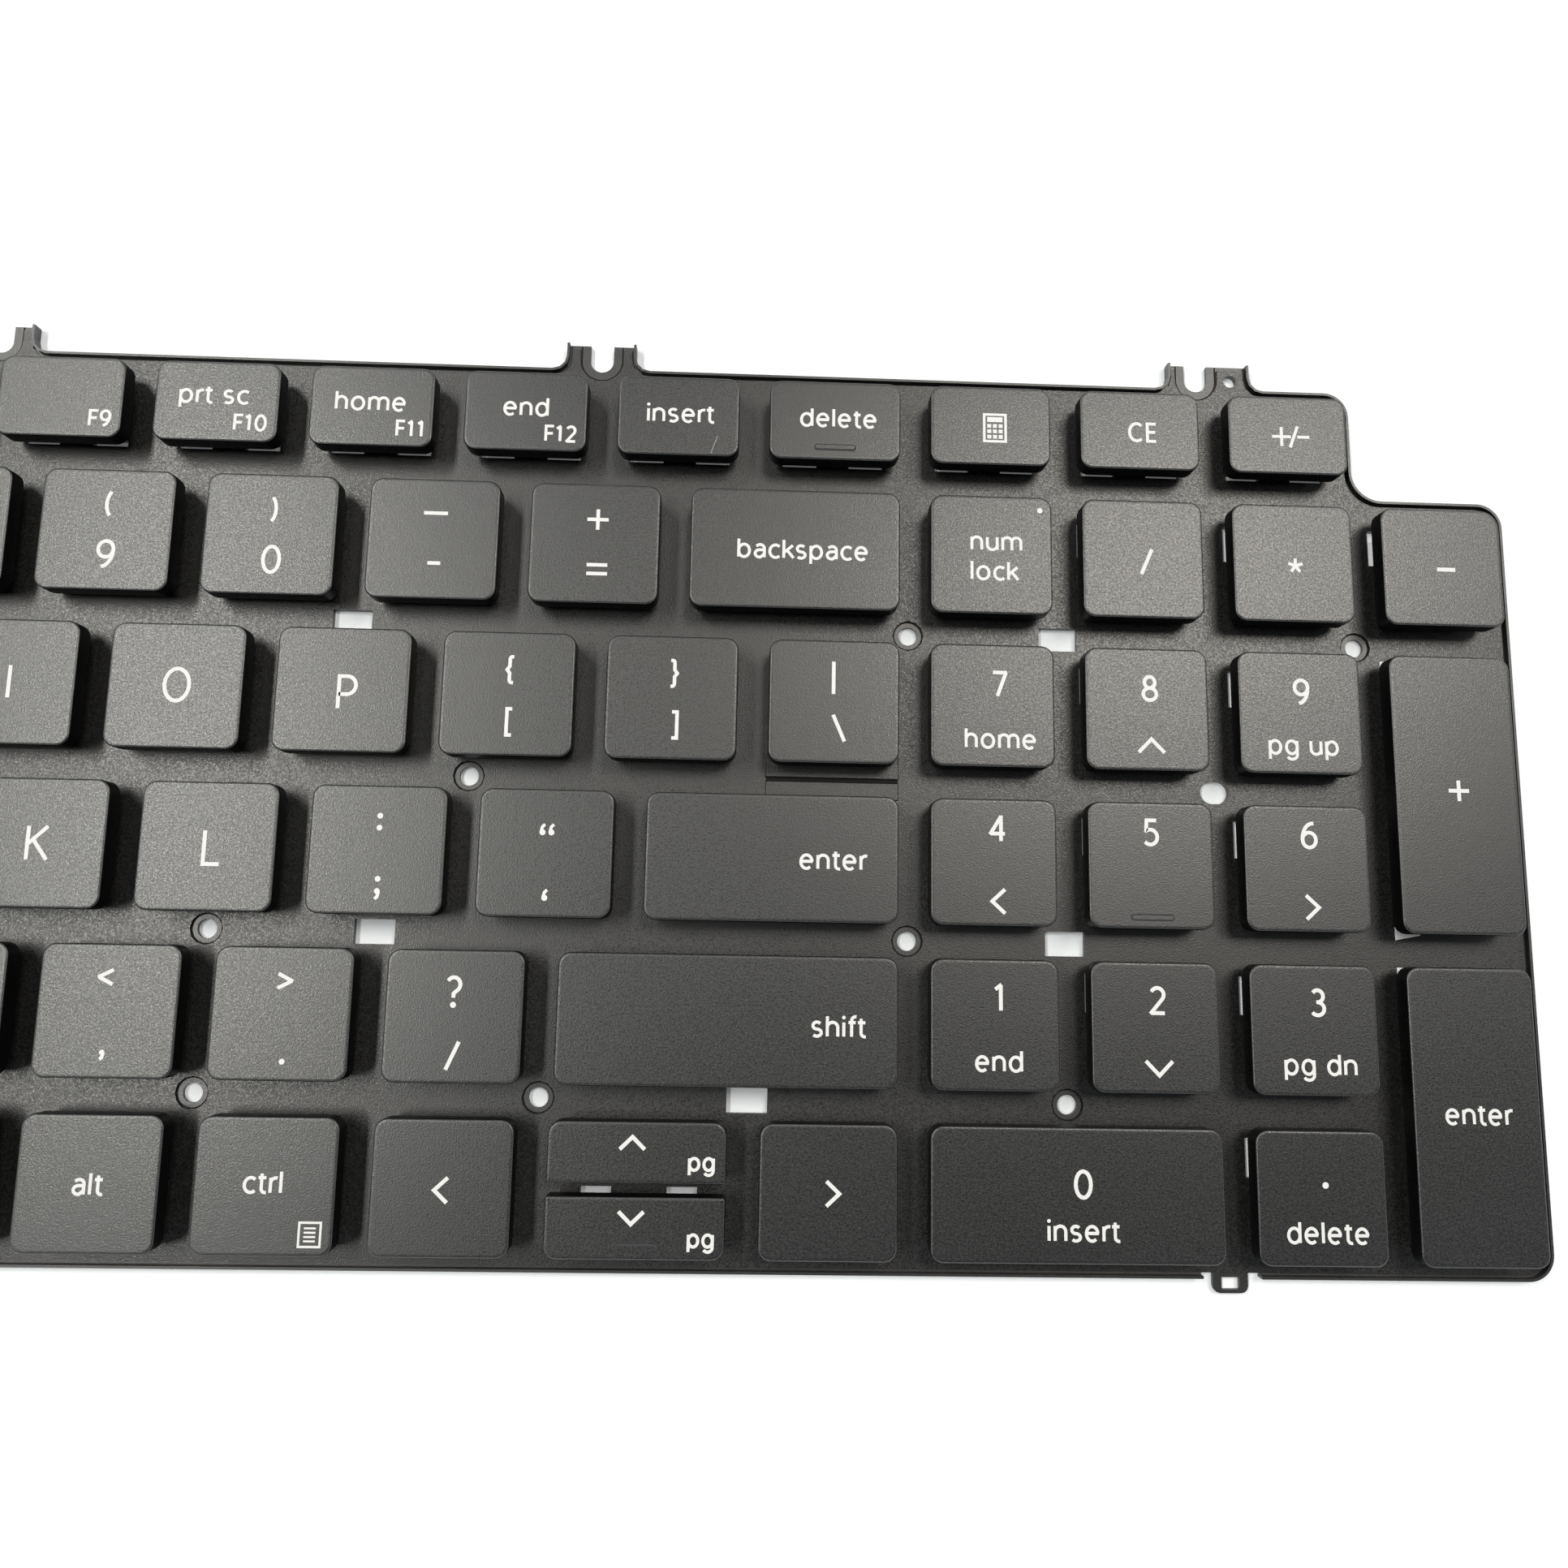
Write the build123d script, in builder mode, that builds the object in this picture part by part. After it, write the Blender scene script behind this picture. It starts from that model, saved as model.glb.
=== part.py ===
import os
from math import asin, atan, atan2, cos, degrees, hypot, pi, sin

from build123d import *

os.makedirs("parts", exist_ok=True)

# Heights, in millimetres, up from the flat underside of the plate
plate_thickness = 0.5
rim_rise = 0.8            # turned-up plate edge, above the plate
rim_thickness = 0.3
sheet_thickness = 0.25
bottoming_gap = 0.35      # cap rim to sheet with a key fully down
key_travel = 1.5
cap_height = 2.1
cap_roof = 0.8
cap_wall = 0.9
cap_corner = 1.45
corner_facets = 3         # flats that make a cap corner round
pad_outer_corner = 2.2    # rounder corner of the key nearest the stepped plate corner
half_inner_corner = 0.3   # corners of the half keys beside the gap between them
homing_length = 5.0
homing_width = 0.8
homing_rise = 0.2
homing_inset = 1.3        # bar centre from the front edge of its cap

# Key grid
key_width = 15.0
key_depth = 14.35
key_gap = 3.6             # side to side
row_gap = 3.7             # front to rear
f_key_width = 14.35
f_key_depth = 9.75
f_row_gap = 3.9
escape_width = 13.8
delete_width = 15.55
tab_key_width = 24.5
caps_lock_width = 29.6
left_shift_width = 39.1
left_ctrl_width = 19.7
arrow_width = 19.3
arrow_gap = 1.35          # between the two half keys
pad_key_width = 14.35
block_gap = 3.6           # main block to number pad

# Plate and sheet
side_margin = 2.7
rear_margin = 2.4
front_margin = 2.25
step_margin = 2.2
plate_corner = 3.0
step_fillet = 3.7
sheet_inset = 0.55
notch_radius = 1.4
notch_ring = 1.25         # bare plate round a notch
tab_reach = 3.35
tab_half = 4.2
tab_fillet = 1.7
fillet_facets = 3         # flats that make a small fillet of the outline
end_tab_left = 3.65
end_tab_right = 6.45
end_notch_spot = 37.15    # notch centres, from the right edge of the plate
mid_notch_spot = 110.7
far_notch_spot = 182.9
locating_radius = 0.8
locating_offset = 4.25    # to the right of the end notch
loop_spot = 36.6
loop_width = 4.0
loop_reach = 1.7
loop_corner = 0.8
loop_hole_width = 2.0
loop_hole_depth = 1.3
loop_relief_width = 1.3
loop_relief_depth = 0.8
screw_radius = 1.1
screw_ring = 0.75         # bare plate round a screw hole
ring_facets = 12
slit_width = 1.5          # openings under the left edges of the pad keys
slit_depth = 4.4
slit_inset = 0.45         # from the left edge of the cap
slit_offset = 3.5         # behind the middle of the cap
front_slot_width = 4.1    # two openings under the front edge of each visible key of the F row
front_slot_depth = 0.8
front_slot_gap = 3.9
front_slot_inset = 0.62   # behind the front edge of the cap
arrow_slot_width = 3.4    # two openings between the half keys
arrow_slot_depth = 1.2
arrow_slot_gap = 6.1
arrow_slot_lead = 0.3     # behind the rear edge of the front half key
window_width = 4.6
window_depth = 2.8
oblong_length = 3.4
oblong_width = 2.7
oblong_spot = 36.6

# Holes and windows in each gap between letter rows, rear to front, from the right edge of the plate
screw_spots = [[73.0, 18.8], [124.0], [152.4, 73.0], [152.4, 114.3, 54.7]]
window_spots = [[138.6, 55.0], [], [133.6, 54.7], [91.0]]

# Scissor links and domes
link_length = 10.5
link_width = 10.0
link_thickness = 0.6
link_bar = 0.9
slim_bar = 0.4            # bars of the links under the half keys
link_play = 0.25          # side gap between an outer and an inner link
link_seat = 0.05          # link edge to sheet and to cap roof
cavity_clear = 0.4
dome_base = 4.2
dome_top = 2.8
dome_clear = 0.25
post_size = 4.0

# Levels
sheet_top = plate_thickness + sheet_thickness
cap_rim = sheet_top + bottoming_gap + key_travel
cap_top = cap_rim + cap_height
roof = cap_top - cap_roof

# Outline of the whole part, centred on its bounding box
pitch = key_width + key_gap
pad_pitch = pad_key_width + key_gap
main_width = tab_key_width + key_gap + 12 * pitch + key_width
f_gap = (main_width - escape_width - 13 * f_key_width - delete_width) / 14
pad_width = 3 * pad_pitch + pad_key_width
plate_width = 2 * side_margin + main_width + block_gap + pad_width
plate_depth = rear_margin + f_key_depth + f_row_gap + 5 * key_depth + 4 * row_gap + front_margin
right_edge = plate_width / 2
left_edge = -right_edge
rear_edge = (plate_depth + loop_reach - tab_reach) / 2
front_edge = rear_edge - plate_depth
tab_end = rear_edge + tab_reach

# Rows and blocks
left_x = left_edge + side_margin
main_right = left_x + main_width
pad_x = main_right + block_gap
f_y = rear_edge - rear_margin - f_key_depth / 2
first_row_y = rear_edge - rear_margin - f_key_depth - f_row_gap - key_depth / 2
row_y = [first_row_y - i * (key_depth + row_gap) for i in range(5)]
gap_y = [y - (key_depth + row_gap) / 2 for y in row_y[:4]]
step_x = pad_x + 2 * pad_pitch + pad_key_width + step_margin
step_y = first_row_y + key_depth / 2 + step_margin

moving = {}
still = []


def lay(names, start, width, y, depth, gap=key_gap):
    """Set keys of one width side by side from a left edge; those without a name join the left group."""
    for i, name in enumerate(names):
        spot = (start + i * (width + gap) + width / 2, y, width, depth)
        if name:
            moving[name] = spot
        else:
            still.append(spot)
    return start + len(names) * (width + gap)


def fill(name, start, end, y, depth):
    """One key from a left edge to a right edge."""
    lay([name], start, end - start, y, depth)


x = lay([None], left_x, escape_width, f_y, f_key_depth, f_gap)
f_names = [None] * 8 + ["key_f9", "key_f10", "key_f11", "key_f12", "key_insert"]
x = lay(f_names, x, f_key_width, f_y, f_key_depth, f_gap)
lay(["key_delete"], x, delete_width, f_y, f_key_depth)
lay(["key_calculator", "key_clear_entry", "key_plus_minus"], pad_x, pad_key_width, f_y, f_key_depth)

digit_names = [None] * 9 + ["key_9", "key_0", "key_minus", "key_equals"]
x = lay(digit_names, left_x, key_width, row_y[0], key_depth)
fill("key_backspace", x, main_right, row_y[0], key_depth)
pad_names = ["key_num_lock", "pad_divide", "pad_multiply", "pad_subtract"]
lay(pad_names, pad_x, pad_key_width, row_y[0], key_depth)

x = lay([None], left_x, tab_key_width, row_y[1], key_depth)
bracket_names = ["key_o", "key_p", "key_bracket_open", "key_bracket_close", "key_backslash"]
lay([None] * 8 + bracket_names, x, key_width, row_y[1], key_depth)
lay(["pad_7", "pad_8", "pad_9"], pad_x, pad_key_width, row_y[1], key_depth)

x = lay([None], left_x, caps_lock_width, row_y[2], key_depth)
x = lay([None] * 8 + ["key_l", "key_semicolon", "key_quote"], x, key_width, row_y[2], key_depth)
fill("key_enter", x, main_right, row_y[2], key_depth)
lay(["pad_4", "pad_5", "pad_6"], pad_x, pad_key_width, row_y[2], key_depth)

x = lay([None], left_x, left_shift_width, row_y[3], key_depth)
x = lay([None] * 7 + ["key_comma", "key_dot", "key_slash"], x, key_width, row_y[3], key_depth)
fill("key_shift_right", x, main_right, row_y[3], key_depth)
lay(["pad_1", "pad_2", "pad_3"], pad_x, pad_key_width, row_y[3], key_depth)

arrow_x = main_right - pitch - arrow_width
alt_x = arrow_x - 3 * pitch
half_depth = (key_depth - arrow_gap) / 2
half_step = (half_depth + arrow_gap) / 2
x = lay([None], left_x, left_ctrl_width, row_y[4], key_depth)
x = lay([None] * 3, x, key_width, row_y[4], key_depth)
fill(None, x, alt_x - key_gap, row_y[4], key_depth)
lay(["key_alt_right", "key_ctrl_right", "key_arrow_left"], alt_x, key_width, row_y[4], key_depth)
lay(["key_arrow_up"], arrow_x, arrow_width, row_y[4] + half_step, half_depth)
lay(["key_arrow_down"], arrow_x, arrow_width, row_y[4] - half_step, half_depth)
lay(["key_arrow_right"], main_right - key_width, key_width, row_y[4], key_depth)
fill("pad_0", pad_x, pad_x + pad_pitch + pad_key_width, row_y[4], key_depth)
lay(["pad_dot"], pad_x + 2 * pad_pitch, pad_key_width, row_y[4], key_depth)

tall_depth = 2 * key_depth + row_gap
last_column = pad_x + 3 * pad_pitch
lay(["pad_add"], last_column, pad_key_width, (row_y[1] + row_y[2]) / 2, tall_depth)
lay(["pad_enter"], last_column, pad_key_width, (row_y[3] + row_y[4]) / 2, tall_depth)

homing_keys = ["key_delete", "pad_5", "key_arrow_down"]

# Notched tabs from right to left: notch centre, reach to its left and to its right
tabs = [
    (right_edge - end_notch_spot, end_tab_left, end_tab_right),
    (right_edge - mid_notch_spot, tab_half, tab_half),
    (right_edge - far_notch_spot, tab_half, tab_half),
]
notch_y = rear_edge + notch_radius
slits = []
front_slots = []
for x, y, width, depth in moving.values():
    if x > pad_x and depth == key_depth:
        slits.append((x - width / 2 + slit_inset, y + slit_offset))
    if y == f_y:
        side = (front_slot_gap + front_slot_width) / 2
        front = y - depth / 2 + front_slot_inset
        front_slots += [(x - side, front), (x + side, front)]
x, y, width, depth = moving["key_arrow_down"]
side = (arrow_slot_gap + arrow_slot_width) / 2
arrow_slots = [(x - side, y + depth / 2 + arrow_slot_lead), (x + side, y + depth / 2 + arrow_slot_lead)]
loop_x = right_edge - loop_spot
screws = [(right_edge - spot, y) for y, spots in zip(gap_y, screw_spots) for spot in spots]
windows = [(right_edge - spot, y) for y, spots in zip(gap_y, window_spots) for spot in spots]


def plate_corners(with_loop):
    """Square corners of the plate outline, counter-clockwise, each with the radius of its arc."""
    relief = loop_width / 2 + loop_relief_width
    corners = [(left_edge, front_edge, plate_corner)]
    if with_loop:
        corners += [
            (loop_x - relief, front_edge, 0),
            (loop_x - relief, front_edge + loop_relief_depth, 0),
            (loop_x - loop_width / 2, front_edge + loop_relief_depth, 0),
            (loop_x - loop_width / 2, front_edge - loop_reach, loop_corner),
            (loop_x + loop_width / 2, front_edge - loop_reach, loop_corner),
            (loop_x + loop_width / 2, front_edge + loop_relief_depth, 0),
            (loop_x + relief, front_edge + loop_relief_depth, 0),
            (loop_x + relief, front_edge, 0),
        ]
    corners += [
        (right_edge, front_edge, plate_corner),
        (right_edge, step_y, plate_corner),
        (step_x, step_y, step_fillet),
        (step_x, rear_edge, plate_corner),
    ]
    for tab_x, to_left, to_right in tabs:
        corners += [
            (tab_x + to_right, rear_edge, tab_fillet),
            (tab_x + to_right, tab_end, 0),
            (tab_x - to_left, tab_end, 0),
            (tab_x - to_left, rear_edge, tab_fillet),
        ]
    corners.append((left_edge, rear_edge, plate_corner))
    return corners


def outline(corners, inset=0):
    """Draw straight runs moved inwards by an even inset, joined by arcs or, at the small fillets, short flats."""
    count = len(corners)
    spots = [Vector(c[0], c[1]) for c in corners]
    ends = []
    for i in range(count):
        before = (spots[i] - spots[i - 1]).normalized()
        after = (spots[(i + 1) % count] - spots[i]).normalized()
        turn = before.X * after.Y - before.Y * after.X
        inward = Vector(-before.Y - after.Y, before.X + after.X)
        corner = spots[i] + inward * inset
        radius = corners[i][2]
        if radius > 0:
            radius = max(radius - inset * turn, 0)
        ends.append((corner - before * radius, corner, corner + after * radius, radius))
    for i in range(count):
        start, corner, end, radius = ends[i]
        if radius > 0:
            centre = start + end - corner
            if corners[i][2] < plate_corner:
                angles = [step / fillet_facets * pi / 2 for step in range(fillet_facets + 1)]
                Polyline(*[centre + (start - centre) * cos(a) + (end - centre) * sin(a) for a in angles])
            else:
                ThreePointArc(start, centre + (corner - centre).normalized() * radius, end)
        Line(end, ends[(i + 1) % count][0])


def cut_openings():
    """Cut what goes through both the plate and the sheet, apart from the screw holes."""
    with Locations(*windows):
        Rectangle(window_width, window_depth, mode=Mode.SUBTRACT)
    with Locations((right_edge - oblong_spot, gap_y[1])):
        SlotOverall(oblong_length, oblong_width, mode=Mode.SUBTRACT)
    with Locations(*slits):
        Rectangle(slit_width, slit_depth, align=(Align.MIN, Align.CENTER), mode=Mode.SUBTRACT)
    with Locations(*front_slots):
        Rectangle(front_slot_width, front_slot_depth, align=(Align.CENTER, Align.MIN), mode=Mode.SUBTRACT)
    with Locations(*arrow_slots):
        Rectangle(arrow_slot_width, arrow_slot_depth, align=(Align.CENTER, Align.MAX), mode=Mode.SUBTRACT)


with BuildPart() as base_plate:
    with BuildSketch():
        with BuildLine():
            outline(plate_corners(True))
        make_face()
        for tab_x, to_left, to_right in tabs:
            with Locations((tab_x, notch_y)):
                Circle(notch_radius, mode=Mode.SUBTRACT)
                Rectangle(2 * notch_radius, tab_reach, align=(Align.CENTER, Align.MIN), mode=Mode.SUBTRACT)
        with Locations((tabs[0][0] + locating_offset, notch_y)):
            Circle(locating_radius, mode=Mode.SUBTRACT)
        with Locations((loop_x, front_edge)):
            Rectangle(loop_hole_width, loop_hole_depth, align=(Align.CENTER, Align.MAX), mode=Mode.SUBTRACT)
        with Locations(*screws):
            Circle(screw_radius, mode=Mode.SUBTRACT)
        cut_openings()
    extrude(amount=plate_thickness)
    # Turned-up edge, open at the tab ends and beside the loop
    with BuildSketch(Plane.XY.offset(plate_thickness)):
        with BuildLine():
            outline(plate_corners(False))
        make_face()
        with BuildSketch(mode=Mode.SUBTRACT):
            with BuildLine():
                outline(plate_corners(False), rim_thickness)
            make_face()
        for tab_x, to_left, to_right in tabs:
            with Locations((tab_x - to_left + rim_thickness, tab_end)):
                opening = to_left + to_right - 2 * rim_thickness
                Rectangle(opening, 2 * rim_thickness, align=(Align.MIN, Align.CENTER), mode=Mode.SUBTRACT)
        with Locations((loop_x, front_edge)):
            Rectangle(loop_width + 2 * loop_relief_width, 2 * loop_relief_depth, mode=Mode.SUBTRACT)
    extrude(amount=rim_rise)
base_plate.part.label = "base_plate"
export_step(base_plate.part, "parts/base_plate.step")

with BuildPart() as cover_sheet:
    with BuildSketch(Plane.XY.offset(plate_thickness)):
        with BuildLine():
            outline(plate_corners(False), sheet_inset)
        make_face()
        ring_radius = notch_radius + notch_ring
        for tab_x, to_left, to_right in tabs:
            with Locations((tab_x, notch_y)):
                RegularPolygon(ring_radius, 2 * ring_facets, mode=Mode.SUBTRACT)
                Rectangle(2 * ring_radius, tab_reach, align=(Align.CENTER, Align.MIN), mode=Mode.SUBTRACT)
        with Locations((tabs[0][0] + locating_offset, notch_y)):
            RegularPolygon(locating_radius, ring_facets, mode=Mode.SUBTRACT)
        with Locations(*screws):
            RegularPolygon(screw_radius + screw_ring, ring_facets, mode=Mode.SUBTRACT)
        cut_openings()
    extrude(amount=sheet_thickness)
cover_sheet.part.label = "cover_sheet"
export_step(cover_sheet.part, "parts/cover_sheet.step")


def corner_radii(name):
    """Radii of a cap's corners, counter-clockwise from the rear right one."""
    if name == "pad_subtract":
        return [pad_outer_corner, cap_corner, cap_corner, cap_corner]
    if name == "key_arrow_up":
        return [cap_corner, cap_corner, half_inner_corner, half_inner_corner]
    if name == "key_arrow_down":
        return [half_inner_corner, half_inner_corner, cap_corner, cap_corner]
    return [cap_corner] * 4


def cap_points(x, y, width, depth, radii):
    """Counter-clockwise outline of a cap whose corners are rounded by short flats."""
    points = []
    for quarter, (across, along) in enumerate([(1, 1), (-1, 1), (-1, -1), (1, -1)]):
        radius = radii[quarter]
        centre_x = x + across * (width / 2 - radius)
        centre_y = y + along * (depth / 2 - radius)
        for i in range(corner_facets + 1):
            angle = (quarter + i / corner_facets) * pi / 2
            points.append((centre_x + radius * cos(angle), centre_y + radius * sin(angle)))
    return points


# Hollow caps, open below
for name, (x, y, width, depth) in moving.items():
    with BuildPart() as keycap:
        with BuildSketch(Plane.XY.offset(cap_rim)):
            with BuildLine():
                Polyline(*cap_points(x, y, width, depth, corner_radii(name)), close=True)
            make_face()
        extrude(amount=cap_height)
        with BuildSketch(Plane.XY.offset(cap_rim)):
            with Locations((x, y)):
                Rectangle(width - 2 * cap_wall, depth - 2 * cap_wall)
        extrude(amount=cap_height - cap_roof, mode=Mode.SUBTRACT)
        if name in homing_keys:
            with BuildSketch(Plane.XY.offset(cap_top)):
                with Locations((x, y - depth / 2 + homing_inset)):
                    Rectangle(homing_length, homing_width)
            extrude(amount=homing_rise)
    keycap.part.label = name
    export_step(keycap.part, f"parts/{name}.step")

# Keys of the left part, in one group
with BuildPart() as left_keys:
    with BuildSketch(Plane.XY.offset(cap_rim)):
        for x, y, width, depth in still:
            with Locations((x, y)):
                Rectangle(width, depth)
        chamfer(vertices(), cap_corner / 2)
    extrude(amount=cap_height)
left_keys.part.label = "left_keys"
export_step(left_keys.part, "parts/left_keys.step")


def works(width, depth):
    """Direction, length, width and bar of the links that fit under a cap, and the angle they lean at."""
    sideways = depth < width / 2
    hollow = (width - 2 * cap_wall, depth - 2 * cap_wall)
    along, across = hollow if sideways else hollow[::-1]
    run = min(link_length, along - 2 * cavity_clear)
    span = min(link_width, across - 2 * cavity_clear)
    bar = slim_bar if sideways else link_bar
    rise = roof - sheet_top - 2 * link_seat
    lean = asin(rise / hypot(run, link_thickness)) - atan2(link_thickness, run)
    return sideways, run, span, bar, lean


def link_plane(x, y, sideways, lean):
    """Underside of a link whose middle is in the middle of the space under a cap."""
    middle = (x, y, (sheet_top + roof) / 2)
    if sideways:
        plane = Plane(middle, x_dir=(0, -1, 0), z_dir=(-sin(lean), 0, cos(lean)))
    else:
        plane = Plane(middle, x_dir=(1, 0, 0), z_dir=(0, -sin(lean), cos(lean)))
    return plane.offset(-link_thickness / 2)


with BuildPart() as outer_links:
    for x, y, width, depth in moving.values():
        sideways, run, span, bar, lean = works(width, depth)
        with BuildSketch(link_plane(x, y, sideways, lean)):
            Rectangle(span, run)
            with Locations((0, -bar / 2)):
                Rectangle(span - 2 * bar, run - bar, mode=Mode.SUBTRACT)
    extrude(amount=link_thickness)
outer_links.part.label = "outer_links"
export_step(outer_links.part, "parts/outer_links.step")

with BuildPart() as inner_links:
    for x, y, width, depth in moving.values():
        sideways, run, span, bar, lean = works(width, depth)
        inner_span = span - 2 * bar - 2 * link_play
        with BuildSketch(link_plane(x, y, sideways, -lean)):
            Rectangle(inner_span, run)
            with Locations((0, bar / 2)):
                Rectangle(inner_span - 2 * bar, run - bar, mode=Mode.SUBTRACT)
    extrude(amount=link_thickness)
inner_links.part.label = "inner_links"
export_step(inner_links.part, "parts/inner_links.step")

with BuildPart() as rubber_domes:
    domes = []
    for x, y, width, depth in moving.values():
        sideways, run, span, bar, lean = works(width, depth)
        room = min((run - 2 * bar) * cos(lean), span - 4 * bar - 2 * link_play) - 2 * dome_clear
        base = min(dome_base, room)
        crown = min(dome_top, room)
        slope = atan((base - crown) / 2 / (roof - sheet_top))
        with BuildSketch(Plane.XY.offset(sheet_top)):
            with Locations((x, y)):
                Rectangle(base, base)
        domes.append(extrude(amount=roof - sheet_top, taper=degrees(slope), mode=Mode.PRIVATE))
    add(domes)
    with BuildSketch(Plane.XY.offset(sheet_top)):
        with Locations(*[(x, y) for x, y, width, depth in still]):
            Rectangle(post_size, post_size)
    extrude(amount=cap_rim - sheet_top)
rubber_domes.part.label = "rubber_domes"
export_step(rubber_domes.part, "parts/rubber_domes.step")
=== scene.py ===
# %% [markdown]
# A laptop keyboard, taken out of its laptop and lying on a white table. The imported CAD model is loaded
# first and never moved: it is the frame that every piece below is fitted to, in metres.

# %% Load the frame
import math

import bpy
import numpy as np
from mathutils import Matrix, Vector


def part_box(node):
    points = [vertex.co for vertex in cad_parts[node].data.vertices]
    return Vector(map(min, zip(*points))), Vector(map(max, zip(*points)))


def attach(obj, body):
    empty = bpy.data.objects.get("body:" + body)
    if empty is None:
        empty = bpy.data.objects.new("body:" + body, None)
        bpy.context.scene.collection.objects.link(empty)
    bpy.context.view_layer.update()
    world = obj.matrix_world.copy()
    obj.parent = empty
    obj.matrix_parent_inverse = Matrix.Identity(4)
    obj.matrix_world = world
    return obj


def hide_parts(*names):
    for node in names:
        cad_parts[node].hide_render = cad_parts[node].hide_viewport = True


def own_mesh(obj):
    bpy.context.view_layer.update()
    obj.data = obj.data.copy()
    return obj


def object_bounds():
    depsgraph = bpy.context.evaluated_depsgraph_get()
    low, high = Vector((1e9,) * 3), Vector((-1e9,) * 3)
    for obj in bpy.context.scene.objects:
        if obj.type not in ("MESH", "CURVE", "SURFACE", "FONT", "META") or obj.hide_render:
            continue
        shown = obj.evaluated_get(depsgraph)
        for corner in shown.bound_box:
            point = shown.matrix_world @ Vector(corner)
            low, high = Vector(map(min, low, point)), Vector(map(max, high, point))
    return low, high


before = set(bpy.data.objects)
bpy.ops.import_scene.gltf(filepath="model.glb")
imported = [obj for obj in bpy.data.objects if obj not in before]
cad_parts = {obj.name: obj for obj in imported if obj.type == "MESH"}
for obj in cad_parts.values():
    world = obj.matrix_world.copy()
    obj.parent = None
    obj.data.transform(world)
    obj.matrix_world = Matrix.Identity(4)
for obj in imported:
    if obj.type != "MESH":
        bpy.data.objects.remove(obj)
cad_box = [list(corner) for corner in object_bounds()]
scene = bpy.context.scene
scene.view_settings.view_transform = "Standard"
MM = 0.001
keys = sorted(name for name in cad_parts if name.startswith(("key_", "pad_")))
print(len(keys), "keys that move; box in mm", [[round(v / MM, 2) for v in c] for c in cad_box])

# %% [markdown]
# The camera stands close above the keys, so the keys at the left show their right walls and the keys at
# the right show their left walls. Its place and lens were solved from the edges of the key tops. The three
# turns take the world into the camera, so the camera itself has the opposite turn, the transpose.

# %% Camera
photo_side = 1932
focal_pixels = 1400.0
camera_data = bpy.data.cameras.new("camera")
camera_data.sensor_width = 36.0
camera_data.lens = camera_data.sensor_width * focal_pixels / photo_side
camera_data.clip_start = 0.005
camera = bpy.data.objects.new("camera", camera_data)
scene.collection.objects.link(camera)
world_to_camera = (
    Matrix.Rotation(-0.0225, 3, "Z") @ Matrix.Rotation(0.0298, 3, "Y") @ Matrix.Rotation(-0.1390, 3, "X")
)
camera_place = Vector((80.33, -17.19, 132.07)) * MM
camera.matrix_world = Matrix.Translation(camera_place) @ world_to_camera.transposed().to_4x4()
scene.camera = camera
print("lens", round(camera_data.lens, 2), "mm")

# %% [markdown]
# Materials are node trees. One helper adds a node, sets its plain values and joins its links, so that each
# finish below reads as a short list. Patterns read Object coordinates, which are metres in this file, so a
# noise scale of 5000 has grains about a fifth of a millimetre across.

# %% Helpers for node trees
def add(tree, kind, values=None, **settings):
    """A node with its settings, and its inputs either linked to an output or set to a value."""
    made = tree.nodes.new(kind)
    for key, value in settings.items():
        setattr(made, key, value)
    for key, value in (values or {}).items():
        if isinstance(value, bpy.types.NodeSocket):
            tree.links.new(value, made.inputs[key])
        else:
            made.inputs[key].default_value = value
    return made


def grey(level, warmth=0.0):
    """A grey in linear light, a little warm or cool."""
    return (level * (1 + warmth), level, level * (1 - warmth), 1)


def finish_of(name, dark, light, patch, grain, rough, bump, shine=0.5):
    """A moulded or painted surface: tone in soft patches, fine grain in tone, roughness and relief."""
    material = bpy.data.materials.new(name)
    material.use_nodes = True
    tree = material.node_tree
    shader = tree.nodes["Principled BSDF"]
    shader.inputs["Specular IOR Level"].default_value = shine
    spot = add(tree, "ShaderNodeTexCoord").outputs["Object"]
    patches = add(tree, "ShaderNodeTexNoise", {"Vector": spot, "Scale": patch, "Detail": 3.0})
    grains = add(tree, "ShaderNodeTexNoise", {"Vector": spot, "Scale": grain, "Detail": 3.0,
                                              "Roughness": 0.7})
    pits = add(tree, "ShaderNodeTexVoronoi", {"Vector": spot, "Scale": grain * 1.3})
    blend = add(tree, "ShaderNodeMath", {0: patches.outputs[0], 1: grains.outputs[0]}, operation="ADD")
    mean = add(tree, "ShaderNodeMath", {0: blend.outputs[0], 1: 0.5}, operation="MULTIPLY")
    tone = add(tree, "ShaderNodeValToRGB", {"Fac": mean.outputs[0]})
    tone.color_ramp.elements[0].position = 0.3
    tone.color_ramp.elements[0].color = dark
    tone.color_ramp.elements[1].position = 0.7
    tone.color_ramp.elements[1].color = light
    tree.links.new(tone.outputs[0], shader.inputs["Base Color"])
    gloss = add(tree, "ShaderNodeMapRange", {"Value": grains.outputs[0], "From Min": 0.35, "From Max": 0.65,
                                             "To Min": rough[0], "To Max": rough[1]})
    tree.links.new(gloss.outputs[0], shader.inputs["Roughness"])
    height = add(tree, "ShaderNodeMath", {0: grains.outputs[0], 1: pits.outputs[0]}, operation="ADD")
    relief = add(tree, "ShaderNodeBump", {"Height": height.outputs[0], "Strength": bump,
                                          "Distance": 0.00003})
    tree.links.new(relief.outputs[0], shader.inputs["Normal"])
    return material
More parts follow.
